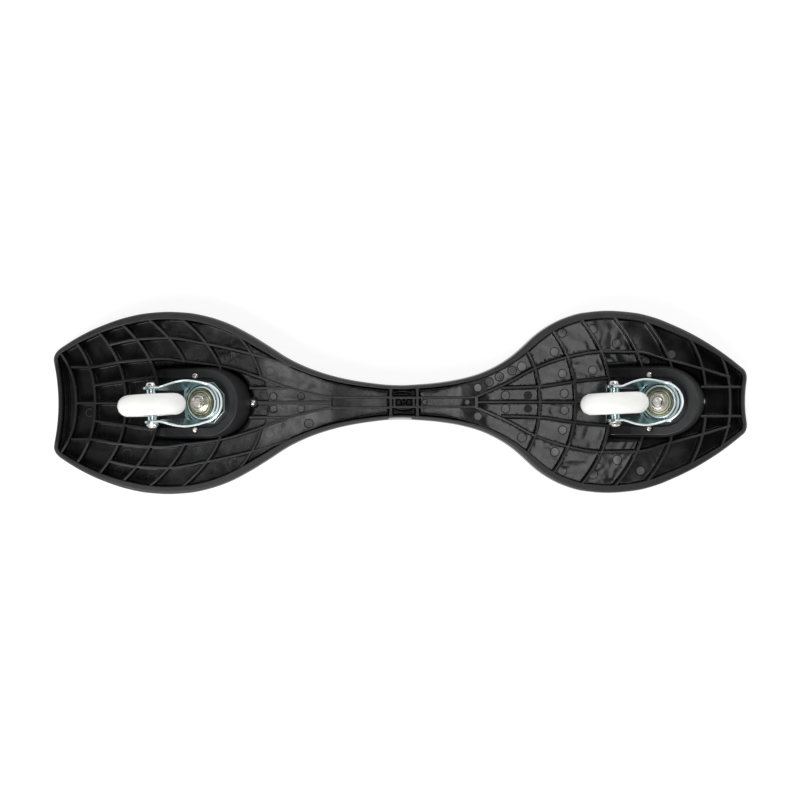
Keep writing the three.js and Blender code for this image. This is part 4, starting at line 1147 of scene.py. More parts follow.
def well_group():
    """Masks for the deck, from a point's height above the riding face's parabola, its place along the board
    and its face's tone: Well is 1 on the floors, Rib is 1 between the floors and the rim's top in the nose
    half, the third output is painted sheen, a broken grey on what lies level in the wells in place of the
    light they reflect, with a painted glint on the raised marks, the fourth is painted shade, 1 where the
    sheen and the shine are taken away (the tips' floors, the gaps beside the neck's raised floors, the sunken
    marks and the back of the seats), and Normal waves the floors gently."""
    tree, result = group("wells", (), ("Well", "Rib", "Painted Sheen", "Painted Shade", "Normal"))

    def product(*pair):
        return combined(tree, "MULTIPLY", *pair)

    def larger(*pair):
        return combined(tree, "MAXIMUM", *pair)

    def mask(value, start, end):
        return ranged(tree, value, start, end)

    def along(rows):
        return tone_ramp(tree, x, [(at * MM, (amount, amount, amount)) for at, amount in rows])

    def above_ride(start, end):
        return mask(height, KICK_RISE + start, KICK_RISE + end)

    coordinates = tree.nodes.new("ShaderNodeTexCoord").outputs
    place_at = coordinates["Object"]
    x, y, z = linked(tree, "ShaderNodeSeparateXYZ", {"Vector": place_at}).outputs
    reach = combined(tree, "ABSOLUTE", x)
    drop = product(combined(tree, "POWER", mask(reach, HALF_BOARD - KICK_LENGTH, HALF_BOARD), 2), KICK_RISE)
    height = combined(tree, "ADD", z, drop)
    well = above_ride(*WELL_HEIGHTS)
    below_rim = product(above_ride(*BELOW_RIM_HEIGHTS), mask(reach, *BELOW_RIM_REACH))
    # Painted sheen: grey along the board on level floors in place of the light they reflect, in broken
    # patches
    painted_sheen = along(PAINTED_SHEEN_ROWS)
    broken = mask(noise(tree, place_at, 28, 7, 0.66, 1), 0.36, 0.62)
    # Painted shade in the neck's gaps beside its raised floors
    gap = product(above_ride(*GAP_HEIGHTS), mask(reach, *GAP_REACH))
    facing = linked(tree, "ShaderNodeSeparateXYZ", {"Vector": coordinates["Normal"]}).outputs["Z"]
    level = product(well, mask(facing, 0.72, 0.93))
    lighter, darker = face_tones(tree)
    sunken = larger(darker, gap)
    left = product(combined(tree, "SUBTRACT", 1, sunken), level)
    # A painted glint on the raised marks and rings
    disc = product(lighter, 0.5)
    sheen_and_glint = combined(tree, "ADD", product(painted_sheen, combined(tree, "ADD", broken, disc)), disc)
    # Painted shade on floors with little sheen, on sunken marks and gaps, and on the seats behind the casters
    shaded_floor = product(well, mask(painted_sheen, 0.34, 0.06))
    aside = combined(tree, "ABSOLUTE", y)
    between = product(mask(aside, *SEAT_REACH), combined(tree, "SUBTRACT", 1, well))
    painted_shade = larger(larger(shaded_floor, sunken), product(between, along(SHADE_ROWS)))
    waves = product(noise(tree, place_at, 24, 2, 0.5, 0.5), well)
    bump = linked(tree, "ShaderNodeBump", {"Strength": 1, "Distance": 0.0016, "Height": waves})
    wired(tree, result, {"Well": well, "Rib": product(below_rim, mask(x, *NOSE_HALF_REACH)),
                         "Painted Sheen": product(sheen_and_glint, left), "Painted Shade": painted_shade, "Normal": bump.outputs["Normal"]})
    return tree


surface = surface_group()
wells = well_group()


def finish(name, colours, roughness, patch_scale, fine_scale, bump, **sockets):
    """A material: two colours mixed by broad patches, a roughness that varies between two values, and a fine
    grain. sockets are the shader's other inputs."""
    material = bpy.data.materials.new(name)
    material.use_nodes = True
    tree = material.node_tree
    grain = {"Patch Scale": patch_scale, "Fine Scale": fine_scale, "Bump": bump}
    masks = wired(tree, linked(tree, "ShaderNodeGroup", node_tree=surface), grain).outputs
    wired(tree, tree.nodes["Principled BSDF"], {
        "Base Color": mixed(tree, masks["Patch"], *((*colour, 1) for colour in colours)),
        "Roughness": ranged(tree, masks["Patch"], 0, 1, *roughness), "Normal": masks["Normal"], **sockets})
    return material


def shading(material):
    """A finish's node tree and shader, and a function that gives what a socket of the shader is joined to."""
    shader = material.node_tree.nodes["Principled BSDF"]
    return material.node_tree, shader, lambda socket: shader.inputs[socket].links[0].from_socket


def deck_finish():
    """Black moulded plastic: a satin rim, glossy floors darkened by painted shade and lightened by a grey
    painted sheen, less shine where shade is painted, and glossier ribs in the nose half.
    """
    colours = ((0.012, 0.012, 0.013), (0.018, 0.018, 0.019))
    material = finish("deck_plastic", colours, (0.42, 0.52), 30, 2600, 0.1)
    tree, shader, given = shading(material)
    masks = linked(tree, "ShaderNodeGroup", node_tree=wells).outputs
    # Painted shade: a darker colour on the wells' floors
    deep = mixed(tree, masks["Well"], given("Base Color"), (0.006, 0.006, 0.0065, 1))
    rough = given("Roughness")
    for mask, share in (("Well", 0.58), ("Rib", 0.45)):
        rough = combined(tree, "MULTIPLY", rough, ranged(tree, masks[mask], 0, 1, 1, share))
    # The grey mixed in is the painted sheen, and the lower shine where the shade mask is 1 is painted shade
    wired(tree, shader, {
        "Base Color": mixed(tree, masks["Painted Sheen"], deep, (0.14, 0.14, 0.145, 1)), "Roughness": rough,
        "Specular IOR Level": ranged(tree, masks["Painted Shade"], 0, 1, 0.5, 0.14), "Normal": masks["Normal"]})
    return material


def olive_finish():
    """Yellowish plating with painted rings of light and shade: highlights on the steps, shade in the grooves
    and darker outwards.
    """
    colours = ((0.5, 0.51, 0.41), (0.68, 0.69, 0.57))
    material = finish("olive_zinc", colours, (0.24, 0.36), 90, 2400, 0.08, Metallic=0.8)
    tree, shader, given = shading(material)
    radius = linked(tree, "ShaderNodeAttribute", attribute_name="radius").outputs["Fac"]
    rings = tone_ramp(tree, radius, PAINTED_CONE_LIGHT_ROWS)
    wired(tree, shader, {"Base Color": mixed(tree, 1, given("Base Color"), rings, "MULTIPLY")})
    return material


def zinc_finish():
    """Bluish plating with painted highlights on edges, pale and less mirror-like, and painted shade, nearly
    black, down in the creases and on the mount plate's top.
    """
    material = finish("zinc_plate", ((0.46, 0.64, 0.66), (0.6, 0.74, 0.76)), (0.16, 0.24), 34, 2400, 0.05)
    tree, shader, given = shading(material)
    lighter, darker = face_tones(tree)
    # Painted highlights where faces are toned lighter, and painted shade where they are toned darker
    painted_highlight = mixed(tree, lighter, given("Base Color"), (0.86, 0.93, 0.94, 1))
    wired(tree, shader, {"Base Color": mixed(tree, darker, painted_highlight, (0.02, 0.035, 0.04, 1)),
                         "Metallic": ranged(tree, lighter, 0, 1, 0.9, 0.3)})
    return material


# Plain finishes: two colours, roughness from and to, patch and grain scale, grain depth, Metallic
PLAIN_FINISHES = {
    "badge_satin": (((0.34, 0.34, 0.35), (0.4, 0.4, 0.41)), (0.3, 0.42), 60, 1800, 0.1, 0.3),
    "grip_rubber": (((0.012, 0.012, 0.012), (0.026, 0.026, 0.026)), (0.7, 0.9), 40, 3000, 0.5, 0),
    "screw_steel": (((0.6, 0.57, 0.53), (0.74, 0.71, 0.68)), (0.2, 0.34), 180, 2600, 0.06, 1),
    "bearing_steel": (((0.5, 0.51, 0.53), (0.6, 0.61, 0.62)), (0.16, 0.28), 160, 2600, 0.05, 1),
    "white_tyre": (((0.84, 0.84, 0.81), (0.89, 0.89, 0.87)), (0.34, 0.46), 24, 1500, 0.05, 0),
    "hub_plastic": (((0.78, 0.78, 0.76), (0.83, 0.83, 0.81)), (0.26, 0.36), 40, 1600, 0.05, 0),
}
materials = {name: finish(name, *row, Metallic=metal) for name, (*row, metal) in PLAIN_FINISHES.items()}
materials.update(deck_plastic=deck_finish(), zinc_plate=zinc_finish(), olive_zinc=olive_finish())


# Deck

body_of = {node: body for body, nodes in frame["record"]["behaviour"]["bodies"].items() for node in nodes}
slot_of = {row["node"]: row["material_slot"] for row in frame["record"]["subparts"]}


def take_finish(obj, *nodes):
    """Puts a finished piece in the place of CAD nodes, with their slot and material."""
    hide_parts(*nodes)
    obj.data.materials.clear()
    obj.data.materials.append(materials[slot_of[nodes[0]]])
    return obj


def dress(obj, *nodes):
    """Puts a finished piece in the place of CAD nodes, on their body."""
    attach(obj, body_of[nodes[0]])
    return take_finish(obj, *nodes)


def twist(obj, *nodes):
    """Puts a finished piece in the place of CAD nodes that bend with the neck, in the world's frame and on no
    body.
    """
    take_finish(obj, *nodes)
    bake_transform(obj)


def neck_badge():
    """A thin blank strip laid on the shoulder's quarter ellipse, with rounded ends."""
    x = np.linspace(BADGE_START, BADGE_END, 41)
    angle = np.radians(np.linspace(*BADGE_ANGLES, 9))
    lean = SIDE_LEAN_SHARE * SHOULDER
    end = np.minimum(1, np.minimum(x - BADGE_START, BADGE_END - x) / BADGE_ROUND)
    narrow = np.sqrt(np.maximum(0.05, 1 - (1 - end) ** 2))
    middle = angle.mean()
    rings = []
    for here, share in zip(x, narrow):
        turn = middle + (angle - middle) * share
        out = np.stack([(SHOULDER - lean) * np.cos(turn), SHOULDER * np.sin(turn)], 1)
        face = out * (1 + BADGE_RISE / SHOULDER)
        back = out * (1 - BADGE_RISE / SHOULDER)
        section = np.concatenate([face, back[::-1]])
        y = -(half_width(here) - SHOULDER) - section[:, 0]
        z = rim_height(here) - SHOULDER + section[:, 1]
        rings.append(np.column_stack([0 * y + here, y, z]))
    return swept("badge", np.array(rings))


def deck_piece():
    """The whole deck: shell, ribs, marks, caster seats and the foot pads' pockets."""
    deck = deck_shell()
    boolean(deck, deck_ribs(), "UNION")
    add_marks(deck)
    for end in seats:
        add_seat(deck, end)
        boolean(deck, grip_plate(end, GRIP_SPARE, -20 * MM, GRIP_TOP + GRIP_SPARE), "DIFFERENCE")
    return smooth_shading(deck)


# Foot pads

def grip_outline(end, spare=0):
    """A pad's edge in plan, in even steps: the deck's half-width less an inset, rounded at both ends as the
    root of 1 - |reach| ** GRIP_POWER."""
    start, stop = GRIP_ENDS[end]
    t = np.linspace(0, np.pi, 400)
    x = start + (stop - start) * (1 - np.cos(t)) / 2
    reach = (x - (start + stop) / 2) / ((stop - start) / 2)
    half = (half_width(x) - GRIP_INSET) * np.sqrt(np.maximum(GRIP_END_SHARE, 1 - np.abs(reach) ** GRIP_POWER))
    loop = even_loop(np.concatenate([np.stack([x, -half], 1), np.stack([x, half], 1)[::-1]]), GRIP_STEP)
    return loop - inward(loop) * spare


def grip_plate(end, spare, low, high):
    """A straight-sided plate in a pad's outline between two heights from the riding face."""
    loop = grip_outline(end, spare)
    ride = ride_height(loop[:, 0])
    rings = np.array([np.column_stack([loop, ride + low]), np.column_stack([loop, ride + high])])
    return plate("pocket", rings, inward(loop), lambda x: ride_height(x) + low,
                 lambda x: ride_height(x) + high)


def foot_pad(end):
    """A grip plate with a raised border and round studs in a honeycomb, all ending in the pad's face."""
    loop = grip_outline(end)
    normal = inward(loop)
    edge, border = 0.4 * MM, GRIP_BORDER
    rows = [(0, GRIP_TOP), (0, -GRIP_FACE + edge), (0.3 * edge, -GRIP_FACE + 0.3 * edge), (edge, -GRIP_FACE),
            (border - edge, -GRIP_FACE), (border, -GRIP_FACE + edge), (border + 0.2 * MM, -GRIP_GROUND)]
    rings = []
    for distance, height in rows:
        ring = loop + normal * distance
        rings.append(np.column_stack([ring, ride_height(ring[:, 0]) + height]))
    heights = (lambda x: ride_height(x) + GRIP_TOP, lambda x: ride_height(x) - GRIP_GROUND)
    pad = plate("pad", np.array(rings), normal, *heights)
    start, stop = GRIP_ENDS[end]
    across = np.arange(-HALF_DECK, HALF_DECK, STUD_PITCH * math.sqrt(3) / 2)
    x = np.arange(start, stop, STUD_PITCH)[None, :] + (np.arange(len(across)) % 2)[:, None] * STUD_PITCH / 2
    spots = np.stack([x, across[:, None] + 0 * x], -1).reshape(-1, 2)
    spots = spots[inside(spots, loop + normal * (border + STUD_RADIUS + 1.2 * MM))]
    turn = np.linspace(0, 2 * np.pi, 10, endpoint=False)
    r = STUD_RADIUS
    levels = [(r + 0.15 * MM, -GRIP_GROUND + 0.6 * MM), (r, -GRIP_FACE + 0.25 * MM),
              (r - 0.5 * MM, -GRIP_FACE)]
    stud = np.concatenate([polar(radius, turn, height) for radius, height in levels])
    side = grid_faces(len(levels), len(turn), wrap_columns=True)
    points, faces = [], []
    for number, (cx, cy) in enumerate(spots):
        points.append(stud + [cx, cy, float(ride_height(cx))])
        first = number * len(stud)
        faces += (side + first).tolist()
        faces.append([first + i for i in range(len(turn))][::-1])
        faces.append([first + len(stud) - len(turn) + i for i in range(len(turn))])
    boolean(pad, make_object("studs", np.concatenate(points), faces), "UNION")
    foot = seats[end].translation
    normal = seats[end].col[2]
    for key, at in screw_places(end).items():
        ride = float(ride_height(at.x))
        radius, top = FRONT_POST_RADIUS, ride + SKIN
        if key != "front":
            radius = SIDE_POST_RADIUS
            lean = (at.x - radius - foot.x) * -normal[0] / normal[2]
            top = foot.z - SEAT_WALL / normal[2] + lean - 0.3 * MM
        rows = [(0, ride), (radius + 0.8 * MM, ride), (radius, ride + GRIP_TOP + 0.8 * MM),
                (radius, top - 0.4 * MM), (radius - 0.4 * MM, top), (0, top)]
        boolean(pad, place(lathe("post", rows, 32, unit=1), Matrix.Translation((at.x, at.y, 0))), "UNION")
    return smooth_shading(pad)


# Screws

def pad_screw(reach):
    """A pan-head screw with a cross recess, its head's seat at zero, on a threaded shank that ends in a
    point. Sizes are in mm, and reach is the shank's length."""
    (r, h), shank = SCREW_HEAD_MM, SCREW_RADIUS_MM
    head = lathe("screw", [(0, -6), (shank, -6), (shank, 0), (r - 0.15, 0), (r, 0.2), (r, h * 0.4),
                           *bezier((r, h * 0.4), (r * 0.98, h), (0, h), 9)], 40)
    corners = np.array([(-1, -1), (1, -1), (1, 1), (-1, 1)])
    # Half a slot's length and width at its bottom and above the head
    levels = [(0.9625, 0.42, h - 1.5), (2.1, 0.546, h + 1)]
    slot = [np.column_stack([corners * [wide, thick], np.full(4, height)]) for wide, thick, height in levels]
    for turn in (0, 90):
        cutter = place(swept("slot", np.array(slot) * MM), Matrix.Rotation(math.radians(turn), 4, "Z"))
        boolean(head, cutter, "DIFFERENCE")
    pitch, depth = 1.1, 0.25
    rows = [(0, -5), (shank, -5)]
    for top in -5.2 - pitch * np.arange(int((reach - 8) / pitch)):
        rows += [(shank, top), (shank - depth, top - pitch / 2)]
    rows += [(shank - depth, 2.4 - reach), (0.2, -reach), (0, -reach)]
    return smooth_shading(boolean(head, lathe("shank", rows, 20), "UNION"))


# Swivel

def mount_plate():
    """An octagon with rounded edges, with painted shade on its top and painted highlights along its edges."""
    edge, bore = 0.45, KINGPIN_RADIUS + 0.3
    piece = turned("plate", [
        (bore, PLATE_LOW), (NO_LIMIT, PLATE_LOW, PLATE_FLATS - 2 * edge),
        (NO_LIMIT, PLATE_LOW + edge, PLATE_FLATS), (NO_LIMIT, PLATE_TOP - edge, PLATE_FLATS),
        (NO_LIMIT, PLATE_TOP - 0.3 * edge, PLATE_FLATS - 0.6 * edge),
        (NO_LIMIT, PLATE_TOP, PLATE_FLATS - 2 * edge), (bore, PLATE_TOP)], 8)
    _, _, height = face_middles(piece)
    painted_highlight = np.where(height > PLATE_TOP - edge, 0.8, 0)
    return toned(piece, np.where(height > PLATE_TOP - 0.01, -0.75, painted_highlight))


def lower_race():
    """The race on the mount plate: a ring with rounded edges and a groove for the balls."""
    turn = np.radians(np.linspace(80, -80, 9))
    groove = np.stack([LOWER_BALL_CIRCLE + LOWER_BALL_RADIUS * np.sin(turn), RACE_TOP - np.cos(turn)], 1)
    return lathe("race", [(RACE_INNER, RACE_LOW), (RACE_OUTER - 0.4, RACE_LOW), (RACE_OUTER, RACE_LOW + 0.4),
                          (RACE_OUTER, RACE_TOP - 0.4), (RACE_OUTER - 0.4, RACE_TOP), *groove,
                          (RACE_INNER, RACE_TOP)])


def top_cone():
    """The stepped washer cone under the nut."""
    rows = [(6.3, 16.6), (16.8, 16.6), (17.2, 16.75), (17.2, 16.95), (16.8, 17.1), (15.8, 17.15),
            (15.5, 16.8), (14.8, 16.8), (14.6, 17.3), (14.2, 17.65), (13.4, 17.75), (13.1, 17.75),
            (12.9, 17.35), (12.2, 17.35), (12, 17.9), (11.7, 18.3), (11.2, 18.4), (6.3, 18.4)]
    return lathe("cone", rows)


def kingpin_nut():
    """A hexagon nut with a washer face, its corners cut back by a cone at both ends."""
    low, high, half, bore, cut = NUT_LOW, NUT_TOP, NUT_FLATS / 2, KINGPIN_RADIUS + 0.15, 1.5
    spread = half / math.cos(math.pi / 6) - half + 0.3
    rows = [(bore, low), (half - 0.3, low), (half - 0.3, low + 0.35)]
    rows += [(half - 0.2 + t * spread, low + 0.35 + t * cut * 0.7, NUT_FLATS) for t in np.linspace(0, 1, 6)]
    rows += [(half - 0.2 + t * spread, high - 0.25 - t * cut, NUT_FLATS) for t in np.linspace(1, 0, 7)]
    rows += [(half - 0.7, high), (bore + 0.9, high), (bore, high - 0.9)]
    return turned("nut", rows, 6, 120)


def kingpin_bolt():
    """A hexagon head under the seat, a plain shank, and a thread with a chamfered end past the nut."""
    seat = -SEAT_WALL / MM - 0.3
    base, r, end, flats = seat - KINGPIN_HEAD_HEIGHT, KINGPIN_RADIUS, KINGPIN_END, KINGPIN_HEAD_FLATS
    corner, pitch = flats / 2 + 1.6, 1.25
    rows = [(0, base), (flats / 2 - 0.6, base, flats), (corner, base + 1.2, flats), (corner, seat, flats),
            (r, seat), (r, NUT_LOW)]
    for top in np.arange(NUT_LOW, end - 1.6, pitch):
        rows += [(r - 0.35, top + 0.62), (r, top + 1.24)]
    rows += [(r - 0.1, end - 0.75), (r - 0.85, end - 0.05), (r - 1, end), (1.2, end), (0.5, end - 0.4),
             (0, end - 0.5)]
    return turned("bolt", rows, 6)


def fork_edges():
    """The lower and upper edges of the pressed side from the middle of the dish's front to one leg's round
    end, and how far the sheet is drawn into the corner, in even steps."""
    rows = []
    for turn in np.radians(np.arange(0, 66, 5)):
        c, s = math.cos(turn), math.sin(turn)
        rows.append([DISH_LOWER[0] * c, DISH_LOWER[1] * s, DISH_LOW, DISH_UPPER[0] * c, DISH_UPPER[1] * s,
                     DISH_HIGH, 1])
    rows += [[*lower, *upper, bend] for lower, upper, bend in FORK_ROWS]
    x, y, z, r = -TRAIL, LEG_MIDDLE, AXLE_HEIGHT, LEG_END_RADIUS
    for turn in np.radians((12, 24, 36, 48, 60, 70, 79)):
        c, s = r * math.cos(turn), r * math.sin(turn)
        rows.append([x - c, y, z + s, x + c, y, z + s, 0])
    rows = np.array(rows)
    steps = np.linalg.norm(np.diff((rows[:, :3] + rows[:, 3:6]) / 2, axis=0), axis=1) + 0.3
    along = np.concatenate([[0], np.cumsum(steps)])
    even = np.unique(np.concatenate([np.linspace(0, along[-1], 90), along[-8:]]))
    table = np.stack([curve_through(np.stack([along, column], 1))(even) for column in rows.T], 1)
    return table[:, :3], table[:, 3:6], table[:, 6:]


def fork_side():
    """The fork's pressed side as one bent sheet: a quadratic curve from the lower to the upper edge in each
    row, given thickness along its normals, with rounded edges."""
    lower, upper, bend = fork_edges()
    lower, upper = [np.concatenate([part[:0:-1] * [1, -1, 1], part]) for part in (lower, upper)]
    bend = np.concatenate([bend[:0:-1], bend])
    middle = (lower + upper) / 2
    control = middle + bend * (np.column_stack([upper[:, :2], lower[:, 2]]) - middle)
    t = np.linspace(0, 1, 11)[None, :, None]
    sheet = (1 - t) ** 2 * lower[:, None] + 2 * t * (1 - t) * control[:, None] + t * t * upper[:, None]
    across = np.gradient(sheet, axis=1)
    normal = np.cross(np.gradient(sheet, axis=0), across)
    normal /= np.linalg.norm(normal, axis=2)[:, :, None]
    across /= np.linalg.norm(across, axis=2)[:, :, None]

    def turned_out(turn):
        c, s = math.cos(math.radians(turn)), math.sin(math.radians(turn))
        return sheet + (normal * c + across * 0.6 * s) * SHEET / 2

    far = [turned_out(turn)[:, -1:] for turn in (35, 90, 145)]
    near = [turned_out(turn)[:, :1] for turn in (-145, -90, -35)]
    loops = np.concatenate([turned_out(0), *far, turned_out(180)[:, ::-1], *near], axis=1)
    # A painted highlight along the middle of the sheet's rounded upper edge
    tones = np.zeros((len(loops) - 1, loops.shape[1]))
    tones[:, len(sheet[0]):len(sheet[0]) + 2] = 1
    return toned(swept("side", loops * MM), np.append(tones, [0, 0]))


def fork_floor():
    """The dish's floor: inside the pressed side's lower edge, with a slightly bulging edge behind."""
    turn = np.radians(np.linspace(-80, 80, 41))
    front = np.stack([(DISH_LOWER[0] + 0.8) * np.cos(turn), (DISH_LOWER[1] + 0.3) * np.sin(turn)], 1)
    half = 18
    side = np.array([(-2, 21), (-12, 19.4), (-20, 18.4), (-CROWN_BACK, half)])
    y = np.linspace(half, -half, 19)[1:-1]
    back = np.stack([-(CROWN_BACK + CROWN_BACK_BULGE * (1 - (y / half) ** 2)), y], 1)
    loop = np.concatenate([front, side, back, side[::-1] * [1, -1]])
    normal = inward(loop)
    low, top, edge, near = CROWN_LOW, CROWN_TOP, 0.5, 0.15
    rows = [(edge, low), (near, low + near), (0, low + edge),
            (0, top - edge), (near, top - near), (edge, top)]
    rings = [np.insert(loop + normal * distance, 2, height, axis=1) for distance, height in rows]
    return swept("floor", np.array(rings) * MM)


def fork():
    """The pressed dish and legs, with a round step and a cup pressed up from the dish, the kingpin's bore and
    three small holes."""
    floor, step, edge, reach = CROWN_TOP, CROWN_TOP + CROWN_STEP, 0.5, CROWN_STEP_RADIUS
    groove = [(reach, floor - 1.1), (reach + 1.2, floor - 1.1), (reach + 1.7, step), (reach, step)]
    body = fused([fork_floor(), fork_side()])
    # Painted shade in the grooves at the step's edge
    for start, end in GROOVE_TURNS:
        boolean(body, toned(turned_arc("groove", groove, start, end), -1), "DIFFERENCE")
    root, inner, outer, top, middle = floor - 0.8, CUP_INNER, CUP_OUTER, CUP_TOP, (CUP_INNER + CUP_OUTER) / 2
    foot, side = (outer + 1.4, floor), (reach, step - edge)
    cup = lathe("cup", [(inner, root), (foot[0], root), foot,
                        *bezier(foot, (outer, floor), (outer, floor + 1), 4),
                        *bezier((outer, top - 1), (outer, top), (middle, top), 6),
                        *bezier((middle, top), (inner, top), (inner, top - 1), 6)])
    # A painted highlight on the cup's rounded top
    _, _, height = face_middles(cup)
    toned(cup, np.where(height > top - 0.35, 1, 0))
    disc = lathe("disc", [(inner, root), (reach, root), side,
                          *bezier(side, (reach, step), (reach - edge, step), 4),
                          (outer + 1.7, step), (outer + 1.3, floor + 0.1), (inner, floor + 0.1)])
    # Painted shade in the hollow beside the cup, and a painted highlight growing towards the step's front
    x, radius, height = face_middles(disc)
    ahead = np.clip((x - 2) / 12, 0, 1)
    toned(disc, np.where((radius < outer + 1.7) & (height > floor), -0.9, 0.7 * ahead))
    body = fused([body, cup, disc])
    low, high, r = CROWN_LOW - 3, floor + 3, DISH_HOLE_RADIUS
    bore = lathe("bore", [(0, low), (CROWN_BORE, low), (CROWN_BORE, high), (0, high)], 64)
    boolean(body, bore, "DIFFERENCE")
    rows = [(0, low), (r, low), (r, floor - 0.2), (r + 0.6, floor + 0.4), (0, floor + 0.4)]
    for turn in np.radians(DISH_HOLE_TURNS):
        shift = Matrix.Translation(Vector(polar(DISH_HOLE_CIRCLE * MM, turn, 0)))
        boolean(body, place(lathe("hole", rows, 20), shift), "DIFFERENCE")
    return body


# Axle and wheel

def axle_bolt():
    """A domed head with a flange and a hexagon socket, and a shank through both legs."""
    seat, top, socket, mouth = LEG_OUTSIDE, LEG_OUTSIDE + AXLE_HEAD_HEIGHT, 5, 3.3
    shank, dome, flange = AXLE_RADIUS, DOME_RADIUS, FLANGE_RADIUS
    rows = [(0, top - 2.8), (NO_LIMIT, top - 2.8, socket), (NO_LIMIT, top - 0.35, socket),
            (NO_LIMIT, top - 0.05, socket + 0.6), (mouth, top),
            *bezier((mouth, top), (dome - 0.2, top), (dome, seat + 1.5), 8),
            (dome + 0.1, seat + 1.15), (flange - 0.3, seat + 0.95), (flange, seat + 0.6),
            (flange, seat + 0.25), (flange - 0.25, seat), (shank, seat), (shank, -seat - 3.4),
            (shank - 0.7, -seat - 4.1), (0, -seat - 4.1)]
    return turned("axle", rows, 6, 72)


def axle_nut():
    """A cap nut: a flange, a hexagon and a dome over the bolt's end."""
    seat, half, flats = LEG_OUTSIDE, AXLE_NUT_FLATS / 2, AXLE_NUT_FLATS
    bore, flange, corner = AXLE_RADIUS + 0.2, FLANGE_RADIUS + 0.2, half + 1.2
    rows = [(bore, seat), (flange, seat), (flange + 0.2, seat + 0.3), (flange, seat + 0.8), (half, seat + 1),
            (corner, seat + 1.15, flats), (corner, seat + 2.6, flats)]
    rows += [(corner - t * 1.5, seat + 2.6 + t * 0.8, flats) for t in np.linspace(0.2, 1, 5)]
    rows += [*bezier((half - 0.5, seat + 3.5), (half - 0.7, seat + 6.1), (0, seat + 6.2), 9), (0, seat + 4.9),
             (bore, seat + 4.4)]
    return turned("axle_nut", rows, 6, 72)


def tube(name, inner, outer, low, high, edge=0.3):
    """A plain sleeve in mm, its edges cut back."""
    rows = [(inner, low + edge), (inner + edge, low), (outer - edge, low), (outer, low + edge),
            (outer, high - edge), (outer - edge, high), (inner + edge, high), (inner, high - edge)]
    return lathe(name, rows, 72)


def mirrored(profile):
    """A profile of (radius, height) closed by its mirror image below zero."""
    return [*profile, *((radius, -height) for radius, height in profile[::-1])]


def bearing():
    """A sealed ball bearing: outer ring, sunken seal and inner ring on both faces, its middle at zero."""
    half, edge, sink, bore, outer = BEARING_WIDTH / 2, 0.3, 0.45, BEARING_BORE, BEARING_OUTER
    inner, lip, shield = bore + 1.9, outer - 1.5, outer - 1.7
    return lathe("bearing", mirrored([
        (bore, half - edge), (bore + edge, half), (inner, half), (inner + 0.1, half - sink),
        (inner + 0.3, half - sink * 0.5), (shield - 0.4, half - sink * 0.5), (shield, half - sink),
        (lip, half), (outer - edge, half), (outer, half - edge)]), 72)


def wheel_hub():
    """A moulded hub: rim, web with five windows and ribs between them, and a barrel for the bearings."""
    rim, web, half, edge, fillet = HUB_RIM_HALF, HUB_WEB_HALF, HUB_HALF, 0.5, 1.2
    seat, pocket = half - BEARING_WIDTH - 0.3, BEARING_OUTER + 0.3
    inner, outer, barrel = HUB_RIM_INNER, HUB_RIM_OUTER, HUB_BARREL_RADIUS
    foot, bend = (barrel + 0.3, web + fillet), (inner - fillet, web)
    hub = lathe("hub", mirrored([
        (HUB_BORE, seat), (pocket, seat), (pocket, half - edge), (pocket + edge, half), (barrel - edge, half),
        (barrel, half - edge), foot, *bezier(foot, (barrel + 0.4, web), (barrel + 0.4 + fillet, web), 4),
        bend, *bezier(bend, (inner, web), (inner, web + fillet), 4), (inner + 0.2, rim - edge),
        (inner + 0.2 + edge, rim), (outer - edge, rim), (outer, rim - edge)]), 100)
    high, middle = web + 3, 18.35
    section = [(-1.1, -high), (1.1, -high), (1.3, 0), (1.1, high), (-1.1, high), (-1.3, 0)]
    spoke = np.array([[(x, y, z) for y, z in section] for x in (13.4, 22.6)]) * MM
    soft = 2.15 * np.array([0.5, 0.9, *np.ones(9), 0.9, 0.5])
    angle = np.radians(np.linspace(-19, 19, 13))
    radius, angle = np.append(middle + soft, middle - soft), np.append(angle, angle[::-1])
    window = np.array([polar(radius, angle, height) for height in (-half, half)]) * MM
    turns = [Matrix.Rotation(math.pi * k / HUB_WINDOWS, 4, "Z") for k in range(2 * HUB_WINDOWS)]
    spokes = [place(swept("spoke", spoke), turn) for turn in turns[1::2]]
    boolean(hub, gathered(spokes, "spokes"), "UNION")
    windows = [place(swept("window", window), turn) for turn in turns[::2]]
    boolean(hub, gathered(windows, "windows"), "DIFFERENCE")
    return hub


def tyre():
    """A full-round tread that runs into flat sides, with a fine parting line round the middle."""
    half, parting = WHEEL_WIDTH / 2, 0.08
    angle = np.radians(np.linspace(-90, 90, 49))
    crown = np.stack([WHEEL_RADIUS - half + half * np.cos(angle), half * np.sin(angle)], 1)
    crown[24, 0] += parting
    low = [(TYRE_BORE, -TYRE_LIP), (TYRE_BORE + 0.4, -TYRE_LIP - 0.5)]
    return lathe("tyre", [*low, *crown, *((radius, -height) for radius, height in low[::-1])], 160)


